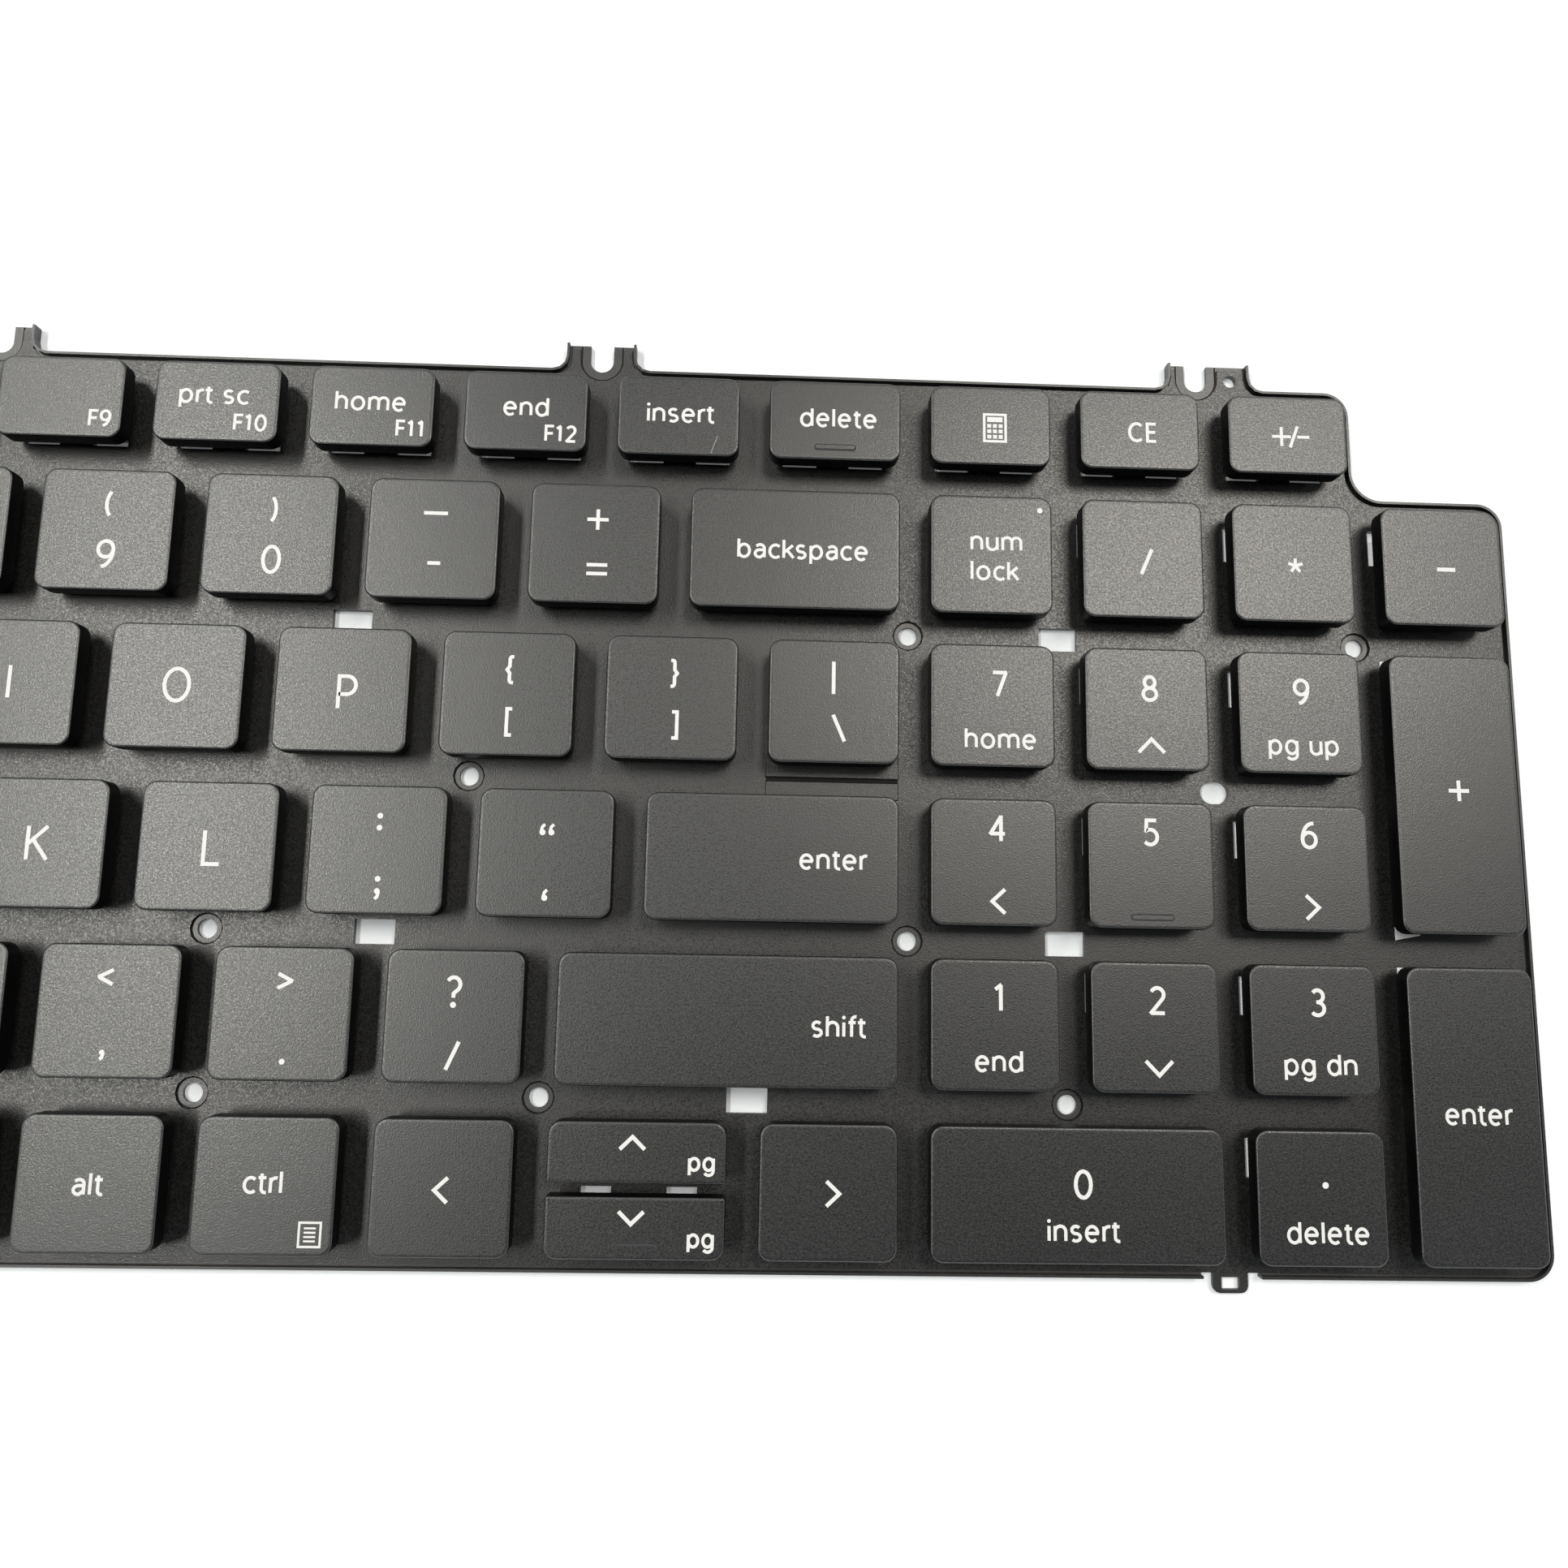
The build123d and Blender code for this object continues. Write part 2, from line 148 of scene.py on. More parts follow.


# %% [markdown]
# Seven finishes. The tops of the caps are black plastic with a fine leather grain that scatters the lamps
# into a grey sheen. Their walls are a darker finish with less shine: painted shade, for the walls that
# little light reaches. The sheet under them is a matt black film, the plate is steel under black paint, the
# links are smooth nylon and the domes soft rubber. The print on the caps is white ink. A finish has two
# tones, the fineness of its patches and of its grain, a range of roughness, a relief and a shine.

# %% Finishes
cap_plastic = finish_of("cap_plastic", grey(0.006, -0.06), grey(0.012, -0.04),
                        patch=60, grain=4500, rough=(0.30, 0.48), bump=0.32, shine=1.0)
# The darker tones of the wall finish are painted shade, for the walls that little light reaches.
cap_wall = finish_of("cap_wall", grey(0.002, -0.06), grey(0.005, -0.04),
                     patch=60, grain=6500, rough=(0.42, 0.50), bump=0.2, shine=0.14)
sheet_film = finish_of("sheet_film", grey(0.005), grey(0.012, 0.03),
                       patch=90, grain=4500, rough=(0.29, 0.53), bump=0.35, shine=0.85)
plate_paint = finish_of("plate_paint", grey(0.007), grey(0.014),
                        patch=70, grain=5000, rough=(0.36, 0.46), bump=0.2, shine=1.0)
link_nylon = finish_of("link_nylon", grey(0.010), grey(0.018),
                       patch=200, grain=3000, rough=(0.38, 0.48), bump=0.08)
dome_rubber = finish_of("dome_rubber", grey(0.012), grey(0.020),
                        patch=200, grain=4000, rough=(0.60, 0.72), bump=0.1, shine=0.3)
legend_ink = finish_of("legend_ink", grey(0.86), grey(0.92),
                       patch=400, grain=9000, rough=(0.55, 0.65), bump=0.1, shine=0.3)
finishes = (cap_plastic, cap_wall, sheet_film, plate_paint, link_nylon, dome_rubber, legend_ink)
print("finishes", [material.name for material in finishes])

# %% [markdown]
# The table is plain white, and far out its edge bends up into a wall, as the paper in a photo studio does.
# What the camera sees of it gets some light of its own, more of it far out where the lamps fade, so that it
# stays white, while the rest of its colour still takes the keyboard's shadow. Under the plate lies a patch
# with less of that light, because the openings of the plate look a little grey.

# %% Table
def cove(flat, bend, height, low, sides=64, steps=8):
    """A round table top whose edge bends up into a wall, in millimetres."""
    turns = [math.pi / 2 * i / steps for i in range(steps + 1)]
    profile = [(flat + bend * math.sin(t), low + bend * (1 - math.cos(t))) for t in turns]
    profile.append((flat + bend, height))
    angles = [2 * math.pi * i / sides for i in range(sides)]
    points = [(r * math.cos(a), r * math.sin(a), z) for r, z in profile for a in angles]
    faces = [tuple(range(sides))]
    for ring in range(len(profile) - 1):
        inner, outer = ring * sides, (ring + 1) * sides
        for i in range(sides):
            j = (i + 1) % sides
            faces.append((inner + i, outer + i, outer + j, inner + j))
    return points, faces


def white_table(name, points, faces, near_glow, far_glow):
    """A white surface with light of its own for what sees it, less near the keyboard than far out."""
    mesh = bpy.data.meshes.new(name)
    mesh.from_pydata([[v * MM for v in p] for p in points], [], faces)
    mesh.polygons.foreach_set("use_smooth", [True] * len(faces))
    table = bpy.data.objects.new(name, mesh)
    scene.collection.objects.link(table)
    material = bpy.data.materials.new(name + "_white")
    material.use_nodes = True
    tree = material.node_tree
    shader = tree.nodes["Principled BSDF"]
    shader.inputs["Base Color"].default_value = grey(0.82, -0.04)
    shader.inputs["Roughness"].default_value = 0.9
    shader.inputs["Specular IOR Level"].default_value = 0.1
    path = add(tree, "ShaderNodeLightPath")
    seen = path.outputs["Is Camera Ray"]
    for other in ("Is Glossy Ray", "Is Transmission Ray"):
        seen = add(tree, "ShaderNodeMath", {0: seen, 1: path.outputs[other]}, operation="MAXIMUM").outputs[0]
    spot = add(tree, "ShaderNodeTexCoord").outputs["Object"]
    distance = add(tree, "ShaderNodeVectorMath", {0: spot}, operation="LENGTH").outputs["Value"]
    own_light = add(tree, "ShaderNodeMapRange", {"Value": distance, "From Min": 0.35, "From Max": 1.3,
                                                  "To Min": near_glow, "To Max": far_glow}).outputs[0]
    strength = add(tree, "ShaderNodeMath", {0: seen, 1: own_light}, operation="MULTIPLY").outputs[0]
    glow = add(tree, "ShaderNodeEmission", {"Color": grey(1.0), "Strength": strength})
    both = add(tree, "ShaderNodeAddShader", {0: shader.outputs[0], 1: glow.outputs[0]})
    tree.links.new(both.outputs[0], tree.nodes["Material Output"].inputs["Surface"])
    mesh.materials.append(material)


UNDER_PLATE = [(-168, -52), (168, -52), (168, 33), (150, 33), (150, 50), (-168, 50)]
TABLE_LOW, PATCH_LOW = -0.2, -0.1
white_table("table", *cove(flat=2000, bend=500, height=1700, low=TABLE_LOW), near_glow=0.24, far_glow=0.8)
white_table("table_under_plate", [(x, y, PATCH_LOW) for x, y in UNDER_PLATE],
            [tuple(range(len(UNDER_PLATE)))], near_glow=0.1, far_glow=0.1)
print("table faces", len(bpy.data.meshes["table"].polygons))

# %% [markdown]
# Two warm soft boxes, one to the left and one at the right and rear, give the caps their two patches of
# sheen, and the room itself is a little blue.

# %% Lamps and world
def soft_box(name, place, size, power, tint):
    """A rectangular lamp in metres that looks at the middle of the keys in view."""
    lamp = bpy.data.lights.new(name, "AREA")
    lamp.shape = "RECTANGLE"
    lamp.size, lamp.size_y = size
    lamp.energy = power
    lamp.color = tint
    box = bpy.data.objects.new(name, lamp)
    scene.collection.objects.link(box)
    look = (Vector(place) - Vector((0.08, 0.0, 0.0))).normalized()
    side = Vector((0.0, 1.0, 0.0)).cross(look).normalized()
    axes = Matrix((side, look.cross(side), look)).transposed()
    box.matrix_world = Matrix.Translation(place) @ axes.to_4x4()


soft_box("window_left", place=(-0.517, 0.196, 1.05), size=(0.15, 0.98), power=9.9, tint=(1.0, 0.985, 0.93))
soft_box("lamp_right_rear", place=(0.511, 0.378, 1.05), size=(0.59, 0.40), power=7.5, tint=(1.0, 0.96, 0.89))
scene.world = bpy.data.worlds.new("room")
scene.world.use_nodes = True
room = scene.world.node_tree.nodes["Background"]
room.inputs["Color"].default_value = grey(1.0, -0.15)
room.inputs["Strength"].default_value = 0.07

# %% [markdown]
# Every cap is one moulding rule: a rounded rectangle, a soft top edge, straight walls and a hollow. So one
# Geometry Nodes tree makes them all. A section of the wall is swept round the rounded rectangle, and two
# filled outlines close the top and the ceiling of the hollow. It works in millimetres and scales at the end.

# %% Helpers for geometry trees
def new_tree(name, inputs):
    """A geometry tree with named inputs. Returns the tree and its input sockets by name."""
    tree = bpy.data.node_groups.new(name, "GeometryNodeTree")
    tree.interface.new_socket("Geometry", in_out="OUTPUT", socket_type="NodeSocketGeometry")
    for label, kind in inputs:
        tree.interface.new_socket(label, in_out="INPUT", socket_type=kind)
    entry = tree.nodes.new("NodeGroupInput")
    return tree, {label: entry.outputs[label] for label, kind in inputs}


def calc(tree, operation, a, b):
    return add(tree, "ShaderNodeMath", {0: a, 1: b}, operation=operation).outputs[0]


def at(tree, x=0.0, y=0.0, z=0.0):
    return add(tree, "ShaderNodeCombineXYZ", {0: x, 1: y, 2: z}).outputs[0]


def line(tree, start, end):
    ends = {"Start": at(tree, *start), "End": at(tree, *end)}
    return add(tree, "GeometryNodeCurvePrimitiveLine", ends).outputs[0]


def moved(tree, geometry, offset):
    return add(tree, "GeometryNodeSetPosition", {"Geometry": geometry, "Offset": offset}).outputs[0]


def turned(tree, geometry, rotation):
    return add(tree, "GeometryNodeTransform", {"Geometry": geometry, "Rotation": rotation}).outputs[0]


def join(tree, *parts):
    made = tree.nodes.new("GeometryNodeJoinGeometry")
    for part in parts:
        tree.links.new(part, made.inputs[0])
    return made.outputs[0]


def rounded(tree, width, depth, radius, steps):
    """A rectangle in the plane with rounded corners."""
    box = add(tree, "GeometryNodeCurvePrimitiveQuadrilateral", {"Width": width, "Height": depth})
    return add(tree, "GeometryNodeFilletCurve", {"Curve": box.outputs[0], "Count": steps, "Radius": radius,
                                                  "Limit Radius": True}, mode="POLY").outputs[0]


def plate_of(tree, loop, level, upwards):
    """A flat face that fills an outline at a level."""
    face = add(tree, "GeometryNodeFillCurve", {"Curve": loop}, mode="NGONS").outputs[0]
    if not upwards:
        face = add(tree, "GeometryNodeFlipFaces", {"Mesh": face}).outputs[0]
    return moved(tree, face, at(tree, z=level))


def sweep(tree, loop, *section):
    """A wall section, given as (inset, height), carried round a loop."""
    profile = turned(tree, join(tree, *section), (0, 0, math.pi))
    return add(tree, "GeometryNodeCurveToMesh", {"Curve": loop, "Profile Curve": profile}).outputs[0]


def finish_tree(tree, geometry, centre, material, weld=0.02, crease=0.7):
    """Weld, shade, scale to metres, put in place, realize and give the material."""
    welded = add(tree, "GeometryNodeMergeByDistance", {"Geometry": geometry, "Distance": weld}).outputs[0]
    angle = add(tree, "GeometryNodeInputMeshEdgeAngle").outputs["Unsigned Angle"]
    soft = add(tree, "FunctionNodeCompare", {0: angle, 1: crease}, data_type="FLOAT", operation="LESS_THAN")
    shaded = add(tree, "GeometryNodeSetShadeSmooth", {"Geometry": welded, "Shade Smooth": soft.outputs[0]},
                 domain="EDGE").outputs[0]
    faces = add(tree, "GeometryNodeSetShadeSmooth", {"Geometry": shaded, "Shade Smooth": True}).outputs[0]
    placed = add(tree, "GeometryNodeTransform", {"Geometry": faces, "Translation": centre,
                                                  "Scale": (MM, MM, MM)}).outputs[0]
    real = add(tree, "GeometryNodeRealizeInstances", {"Geometry": placed}).outputs[0]
    done = add(tree, "GeometryNodeSetMaterial", {"Geometry": real, "Material": material}).outputs[0]
    add(tree, "NodeGroupOutput", {"Geometry": done})
    print("tree", tree.name, "with", len(tree.nodes), "nodes")


def grow(tree, values):
    """The mesh that a tree gives for these inputs."""
    seed = bpy.data.objects.new("seed", bpy.data.meshes.new("seed"))
    scene.collection.objects.link(seed)
    modifier = seed.modifiers.new("grow", "NODES")
    modifier.node_group = tree
    for item in tree.interface.items_tree:
        if item.in_out == "INPUT":
            modifier[item.identifier] = values[item.name]
    mesh = bpy.data.meshes.new_from_object(seed.evaluated_get(bpy.context.evaluated_depsgraph_get()))
    mesh.materials.clear()
    mesh.materials.append(values["Finish"])
    mesh.polygons.foreach_set("material_index", [0] * len(mesh.polygons))
    empty = seed.data
    bpy.data.objects.remove(seed)
    bpy.data.meshes.remove(empty)
    return mesh


# %% The tree of a cap
NUMBER, VECTOR = "NodeSocketFloat", "NodeSocketVector"
SWITCH, MATERIAL = "NodeSocketBool", "NodeSocketMaterial"
CORNERS = [f"{place} corner" for place in ("Rear right", "Rear left", "Front left", "Front right")]
cap_sizes = ["Width", "Depth", "Height", *CORNERS, "Edge", "Wall", "Roof", "Bar inset", "Bar rise"]
cap_tree, cap_in = new_tree("moulded_cap", [(label, NUMBER) for label in cap_sizes] + [
    ("Homing bar", SWITCH), ("Centre", VECTOR), ("Finish", MATERIAL)])


def tree_index_switch(tree, options):
    """The option whose number is the index of the point at hand."""
    made = add(tree, "GeometryNodeIndexSwitch", {"Index": add(tree, "GeometryNodeInputIndex").outputs[0]},
               data_type="FLOAT")
    while len(made.index_switch_items) < len(options):
        made.index_switch_items.new()
    for i, option in enumerate(options):
        tree.links.new(option, made.inputs[str(i)])
    return made.outputs[0]


def cap_loop(inset, steps=8):
    """The cap's outline moved inwards. Its points run from the rear right corner to the left."""
    pick = tree_index_switch(cap_tree, [cap_in[corner] for corner in CORNERS])
    twice = calc(cap_tree, "MULTIPLY", inset, 2.0)
    return rounded(cap_tree, calc(cap_tree, "SUBTRACT", cap_in["Width"], twice),
                   calc(cap_tree, "SUBTRACT", cap_in["Depth"], twice),
                   calc(cap_tree, "MAXIMUM", calc(cap_tree, "SUBTRACT", pick, inset), 0.05), steps)


edge, high, wall = cap_in["Edge"], cap_in["Height"], cap_in["Wall"]
top_inset = calc(cap_tree, "ADD", edge, 0.2)
shoulder = calc(cap_tree, "SUBTRACT", high, edge)
ceiling = calc(cap_tree, "SUBTRACT", high, cap_in["Roof"])
bend = add(cap_tree, "GeometryNodeCurveArc", {"Resolution": 6, "Radius": edge, "Start Angle": math.pi / 2,
                                               "Sweep Angle": math.pi / 2}, mode="RADIUS").outputs[0]
bend = moved(cap_tree, bend, at(cap_tree, edge, shoulder))
shell = sweep(cap_tree, cap_loop(0.0), line(cap_tree, (top_inset, high), (edge, high)), bend,
              line(cap_tree, (0.0, shoulder), (0.0, 0.0)), line(cap_tree, (0.0, 0.0), (wall, 0.0)),
              line(cap_tree, (wall, 0.0), (wall, ceiling)))
cap_body = join(cap_tree, shell, plate_of(cap_tree, cap_loop(top_inset), high, True),
                plate_of(cap_tree, cap_loop(wall), ceiling, False))

# %% The homing bar, a low stadium near the front edge
bar_length, bar_width, bar_edge, bar_root = 5.0, 0.8, 0.18, -0.1
rise = cap_in["Bar rise"]
bar_round = bar_width / 2 - 0.001
bar_loop = rounded(cap_tree, bar_length, bar_width, bar_round, 6)
bar_top = rounded(cap_tree, bar_length - 2 * bar_edge, bar_width - 2 * bar_edge, bar_round - bar_edge, 6)
bar_shoulder = calc(cap_tree, "SUBTRACT", rise, bar_edge)
bar = join(cap_tree, sweep(cap_tree, bar_loop, line(cap_tree, (bar_edge, rise), (0.0, bar_shoulder)),
                           line(cap_tree, (0.0, bar_shoulder), (0.0, bar_root))),
           plate_of(cap_tree, bar_top, rise, True), plate_of(cap_tree, bar_loop, bar_root, False))
front = calc(cap_tree, "SUBTRACT", cap_in["Bar inset"], calc(cap_tree, "MULTIPLY", cap_in["Depth"], 0.5))
bar = moved(cap_tree, bar, at(cap_tree, 0.0, front, high))
bar = add(cap_tree, "GeometryNodeSwitch", {"Switch": cap_in["Homing bar"], "True": bar},
          input_type="GEOMETRY").outputs[0]
finish_tree(cap_tree, join(cap_tree, cap_body, bar), cap_in["Centre"], cap_in["Finish"])

# %% [markdown]
# Each cap takes its size and place from the CAD cap that it stands for, so nothing is measured twice. Three
# caps carry a homing bar. The key beside the stepped corner of the plate has one rounder corner, and the two
# half keys are nearly square where they face each other.

# %% Caps that move
cap_rise, cap_edge, cap_side, cap_roof, cap_corner = 2.1, 0.25, 0.9, 0.8, 1.45
bar_rise, half_corner = 0.2, 0.3
with_bar = {"key_delete": 1.5, "pad_5": 1.3, "key_arrow_down": 1.3}
even_corners = (cap_corner,) * 4
odd_corners = {"pad_subtract": (2.2, cap_corner, cap_corner, cap_corner),
               "key_arrow_up": (cap_corner, cap_corner, half_corner, half_corner),
               "key_arrow_down": (half_corner, half_corner, cap_corner, cap_corner)}
cap_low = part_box("key_o")[0][2]
cap_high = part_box("key_o")[1][2]


def cap_mesh(x, y, width, depth, bar_inset=0.0, radii=even_corners):
    """A cap in millimetres: centre, width, depth and corner radii from the rear right one to the left."""
    values = dict(zip(CORNERS, radii))
    values.update({
        "Width": width, "Depth": depth, "Height": cap_rise,
        "Edge": cap_edge, "Wall": cap_side, "Roof": cap_roof,
        "Homing bar": bar_inset > 0, "Bar inset": bar_inset, "Bar rise": bar_rise,
        "Centre": (x * MM, y * MM, cap_low), "Finish": cap_plastic})
    mesh = grow(cap_tree, values)
    # Faces that do not look up, the walls and the lower part of the rounded top edge, get the darker wall
    # finish: painted shade.
    mesh.materials.append(cap_wall)
    for face in mesh.polygons:
        face.material_index = 0 if face.normal.z > 0.7 else 1
    return mesh


def piece(name, mesh, body, stands_for=()):
    """An object at the origin that rides on a body."""
    mesh.name = name
    made = bpy.data.objects.new(name, mesh)
    scene.collection.objects.link(made)
    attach(made, body)
    for node_name in stands_for:
        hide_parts(node_name)
    return made


def spot_of(name):
    """Centre, width and depth of a key in millimetres."""
    (x0, y0, _), (x1, y1, _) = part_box(name)
    return (x0 + x1) / 2 / MM, (y0 + y1) / 2 / MM, (x1 - x0) / MM, (y1 - y0) / MM


for name in keys:
    mesh = cap_mesh(*spot_of(name), with_bar.get(name, 0.0), odd_corners.get(name, even_corners))
    piece("cap_" + name, mesh, name + "_body", [name])

# %% [markdown]
# The legends are plain sans letters of one pen width. Instead of a font, each sign is written as pen
# strokes on a grid whose capitals are 10 units high. A stroke is points (x,y) and arcs (centre x, centre y,
# radius x, radius y, from, to in degrees); three numbers are a round dot. A bar parts the strokes.

# %% Pen strokes of the signs
SIGNS = {
    "a": "0.5,6.4 2.5,5,2.1,2.2,130,0 4.6,0 | 4.6,4.2 2.2,4.2 2.2,2.1,2.2,2.1,90,285 4.6,2",
    "b": "0,0 0,10.2 | 2.7,3.6,2.7,3.6,0,360", "c": "2.9,3.6,2.9,3.6,48,312",
    "d": "5.4,0 5.4,10.2 | 2.7,3.6,2.7,3.6,0,360", "e": "0.1,3.8 5.3,3.8 2.7,3.6,2.7,3.6,3,312",
    "f": "1.5,0 1.5,8 3.3,8,1.8,2.2,180,75 | 0,7.2 3.4,7.2",
    "g": "2.7,3.6,2.7,3.6,0,360 | 5.4,7.2 5.4,-0.4 2.8,-0.4,2.6,2.6,0,-150",
    "h": "0,0 0,10.2 | 0,4.5 2.5,4.5,2.5,2.7,180,0 5,0", "i": "0,0 0,7.2 | 0,9.7,0.95",
    "k": "0,0 0,10.2 | 4.5,7.2 0.2,3.1 | 1.6,4.4 4.9,0", "l": "0,0 0,10.2",
    "m": "0,0 0,7.2 | 0,4.8 2.3,4.8,2.3,2.4,180,0 4.6,0 | 4.6,4.8 6.9,4.8,2.3,2.4,180,0 9.2,0",
    "n": "0,0 0,7.2 | 0,4.5 2.5,4.5,2.5,2.7,180,0 5,0", "o": "2.9,3.6,2.9,3.6,0,360",
    "p": "0,-3 0,7.2 | 2.7,3.6,2.7,3.6,0,360", "r": "0,0 0,7.2 | 0,4.5 2.4,4.5,2.4,2.7,180,75",
    "s": "2.2,5.4,1.9,1.8,35,270 2.2,1.8,2.1,1.8,90,-140",
    "t": "1.5,9.2 1.5,1.9 3.3,1.9,1.8,1.9,180,285 | 0,7.2 3.5,7.2",
    "u": "0,7.2 0,2.7 2.5,2.7,2.5,2.7,180,360 5,7.2 | 5,2.7 5,0",
    "A": "0,0 3.9,10 7.8,0 | 1.4,3.5 6.4,3.5",
    "B": "0,0 0,10 2.8,10 2.8,7.6,2.4,2.4,90,-90 0,5.2 | 2.8,5.2 3,2.6,2.8,2.6,90,-90 0,0",
    "C": "4,5,4,5,48,312", "D": "0,0 0,10 2.4,10 2.4,5,4.6,5,90,-90 0,0",
    "E": "4.8,10 0,10 0,0 4.8,0 | 0,5.2 4.4,5.2", "F": "5,10 0,10 0,0 | 0,5.1 4.5,5.1",
    "G": "4.3,5,4.3,5,48,320 7.6,4.6 4.8,4.6", "H": "0,0 0,10 | 6.6,0 6.6,10 | 0,5.2 6.6,5.2",
    "I": "0,0 0,10", "J": "2.8,10 2.8,2.6 0.6,2.6,2.2,2.6,0,-110",
    "K": "0,0 0,10 | 5.6,10 0.2,4.7 | 1.6,6 6,0", "L": "0,10 0,0 4.8,0",
    "M": "0,0 0,10 4.4,2 8.8,10 8.8,0", "N": "0,0 0,10 6.8,0 6.8,10", "O": "3.7,5,3.7,5,0,360",
    "P": "0,0 0,10 2.5,10 2.5,7.2,2.6,2.8,90,-90 0,4.4", "Q": "3.9,5,3.9,5,0,360 | 4.6,1.8 7.6,-1.6",
    "R": "0,0 0,10 2.5,10 2.5,7.3,2.5,2.7,90,-90 0,4.6 | 2.7,4.6 5.6,0",
    "S": "2.8,7.5,2.4,2.5,40,270 2.8,2.5,2.6,2.5,90,-145", "T": "0,10 6.6,10 | 3.3,10 3.3,0",
    "U": "0,10 0,3.3 3.2,3.3,3.2,3.3,180,360 6.4,10", "V": "0,10 3.8,0 7.6,10",
    "W": "0,10 2.7,0 5.4,10 8.1,0 10.8,10", "X": "0,10 6.4,0 | 6.4,10 0,0",
    "Y": "0,10 3.3,4.8 6.6,10 | 3.3,4.8 3.3,0", "Z": "0.2,10 6.2,10 0,0 6.4,0", "0": "3,5,3,5,0,360",
    "1": "0.1,8.3 2.3,10 2.3,0", "2": "2.7,7.3,2.6,2.7,155,-38 0,0 5.6,0",
    "3": "2.4,7.6,2.3,2.4,145,-90 2.3,2.6,2.7,2.6,90,-145", "4": "4.3,0 4.3,10 0,3 5.9,3",
    "5": "4.8,10 0.8,10 0.5,5.7 2.2,3.1,2.9,3.1,125,-140",
    "6": "2.8,3.1,2.8,3.1,0,360 | 0,3.1 4.4,3.4,4.4,6.6,183,84", "7": "0,10 5.5,10 1.8,0",
    "8": "2.8,7.6,2.2,2.4,0,360 | 2.8,2.6,2.8,2.6,0,360",
    "9": "2.8,6.9,2.8,3.1,0,360 | 5.6,6.9 1.2,6.6,4.4,6.6,3,-84", "(": "4.2,5,4.2,6.6,130,230",
    ")": "-2.7,5,4.2,6.6,50,-50", "[": "2,10.2 0,10.2 0,-0.2 2,-0.2", "]": "0,10.2 2,10.2 2,-0.2 0,-0.2",
    "{": "2.7,10.2 2.1,9.2,0.9,1,90,180 1.2,6.4 0.2,5 1.2,3.6 1.2,0.8 2.1,0.8,0.9,1,180,270 2.7,-0.2",
    "}": "0.2,10.2 0.8,9.2,0.9,1,90,0 1.7,6.4 2.7,5 1.7,3.6 1.7,0.8 0.8,0.8,0.9,1,0,-90 0.2,-0.2",
    "|": "0,0 0,10", "/": "0,0 4.3,10", "\\": "0,10 4.3,0", "+": "0,5 8,5 | 4,1 4,9",
    "=": "0,6.7 7.8,6.7 | 0,3.3 7.8,3.3", "-": "0,5 4.8,5", "_": "0,5 9,5", "<": "5.8,8 0,5 5.8,2",
    ">": "0,8 5.8,5 0,2", "?": "2.4,7.5,2.3,2.5,150,-62 2.5,4.4 2.5,2.9 | 2.5,0.4,1.05",
    "*": "3,5 3,8.2 | 3,5 6,6 | 3,5 4.9,2.4 | 3,5 1.1,2.4 | 3,5 0,6",
    "P/M": "0,5 7.8,5 | 3.9,0.9 3.9,9.1 | 7.3,0.5 10.6,9.5 | 10.4,5 15.4,5", ".": "0,0,1.1",
    ":": "0,2.2,1.05 | 0,6.6,1.05", ",": "0,0,1.1 | 0.6,-0.1 0.1,-2.2 -0.8,-2.8",
    ";": "0,4.4,1.05 | 0,0,1.05 | 0.6,-0.1 0.1,-2.2 -0.8,-2.8",
    "'": "0,0,1.05 | -0.5,0.2 -0.1,1.9 0.8,2.8",
    '"': "0,0,1.05 | -0.5,0.2 -0.1,1.9 0.8,2.8 | 3.1,0,1.05 | 2.6,0.2 3,1.9 3.9,2.8", "`": "0,10 2,8",
    "~": "1.6,5,1.6,1.2,180,0 4.8,5,1.6,1.2,180,360", "!": "0,10 0,3 | 0,0.4,1.05",
    "@": "4.6,4.2,2,2.2,0,360 | 6.6,6.4 6.6,3.4 7.8,3.4,1.2,1.6,180,360 4.5,4.2,4.5,5,0,300",
    "^": "0,6 3,10 6,6", "#": "2.2,0 3.4,10 | 5.4,0 6.6,10 | 0.6,6.6 8.2,6.6 | 0.2,3.4 7.8,3.4",
    "$": "2.8,7.2,2.3,2.2,40,270 2.8,2.8,2.5,2.2,90,-145 | 2.8,11 2.8,-1",
    "%": "1.9,7.6,1.9,2.4,0,360 | 7.3,2.4,1.9,2.4,0,360 | 1.6,0 7.6,10",
    "&": "7,0 2.2,6 3.4,8,1.9,2,215,-35 1,4.4 2.9,2.3,2.9,2.3,155,320 6.6,5",
}
# Space after narrow-ended letters, and how much less there is before letters with a cross stroke.
TIGHT = {"r": 1.8, "f": 1.7, "t": 2.0, "c": 2.4, "k": 2.0, "a": 3.0, "F": 2.0, "1": 4.2}
CLOSE = {"t": 0.9, "f": 0.7}
# Space after any other sign, and the width of a sign, for small letters (True) and for the rest.
GAP = {True: 3.1, False: 3.2}
STRETCH = {True: 1.1, False: 1.0}
WORD_SPACE = 4.6


def strokes_of(sign):
    """A sign as lists of points, and its dots as (x, y, radius)."""
    lines, dots = [], []
    for part in SIGNS[sign].split(" | "):
        points = []
        for item in part.split():
            numbers = [float(v) for v in item.split(",")]
            if len(numbers) == 2:
                points.append(tuple(numbers))
            elif len(numbers) == 3:
                dots.append(tuple(numbers))
            else:
                cx, cy, rx, ry, begin, end = numbers
                steps = max(3, round(abs(end - begin) / 18))
                for i in range(steps + 1):
                    angle = math.radians(begin + (end - begin) * i / steps)
                    points.append((cx + rx * math.cos(angle), cy + ry * math.sin(angle)))
        if points:
            lines.append(points)
    return lines, dots


print("signs", len(SIGNS), "and the longest has", max(len(strokes_of(s)[0]) for s in SIGNS), "strokes")

# %% [markdown]
# A stroke becomes a very thin closed bar, so that the ink is real geometry with outward faces. At each
# point the two edges stand off along the mitre of the bend. Its underside is sunk a little into the cap.

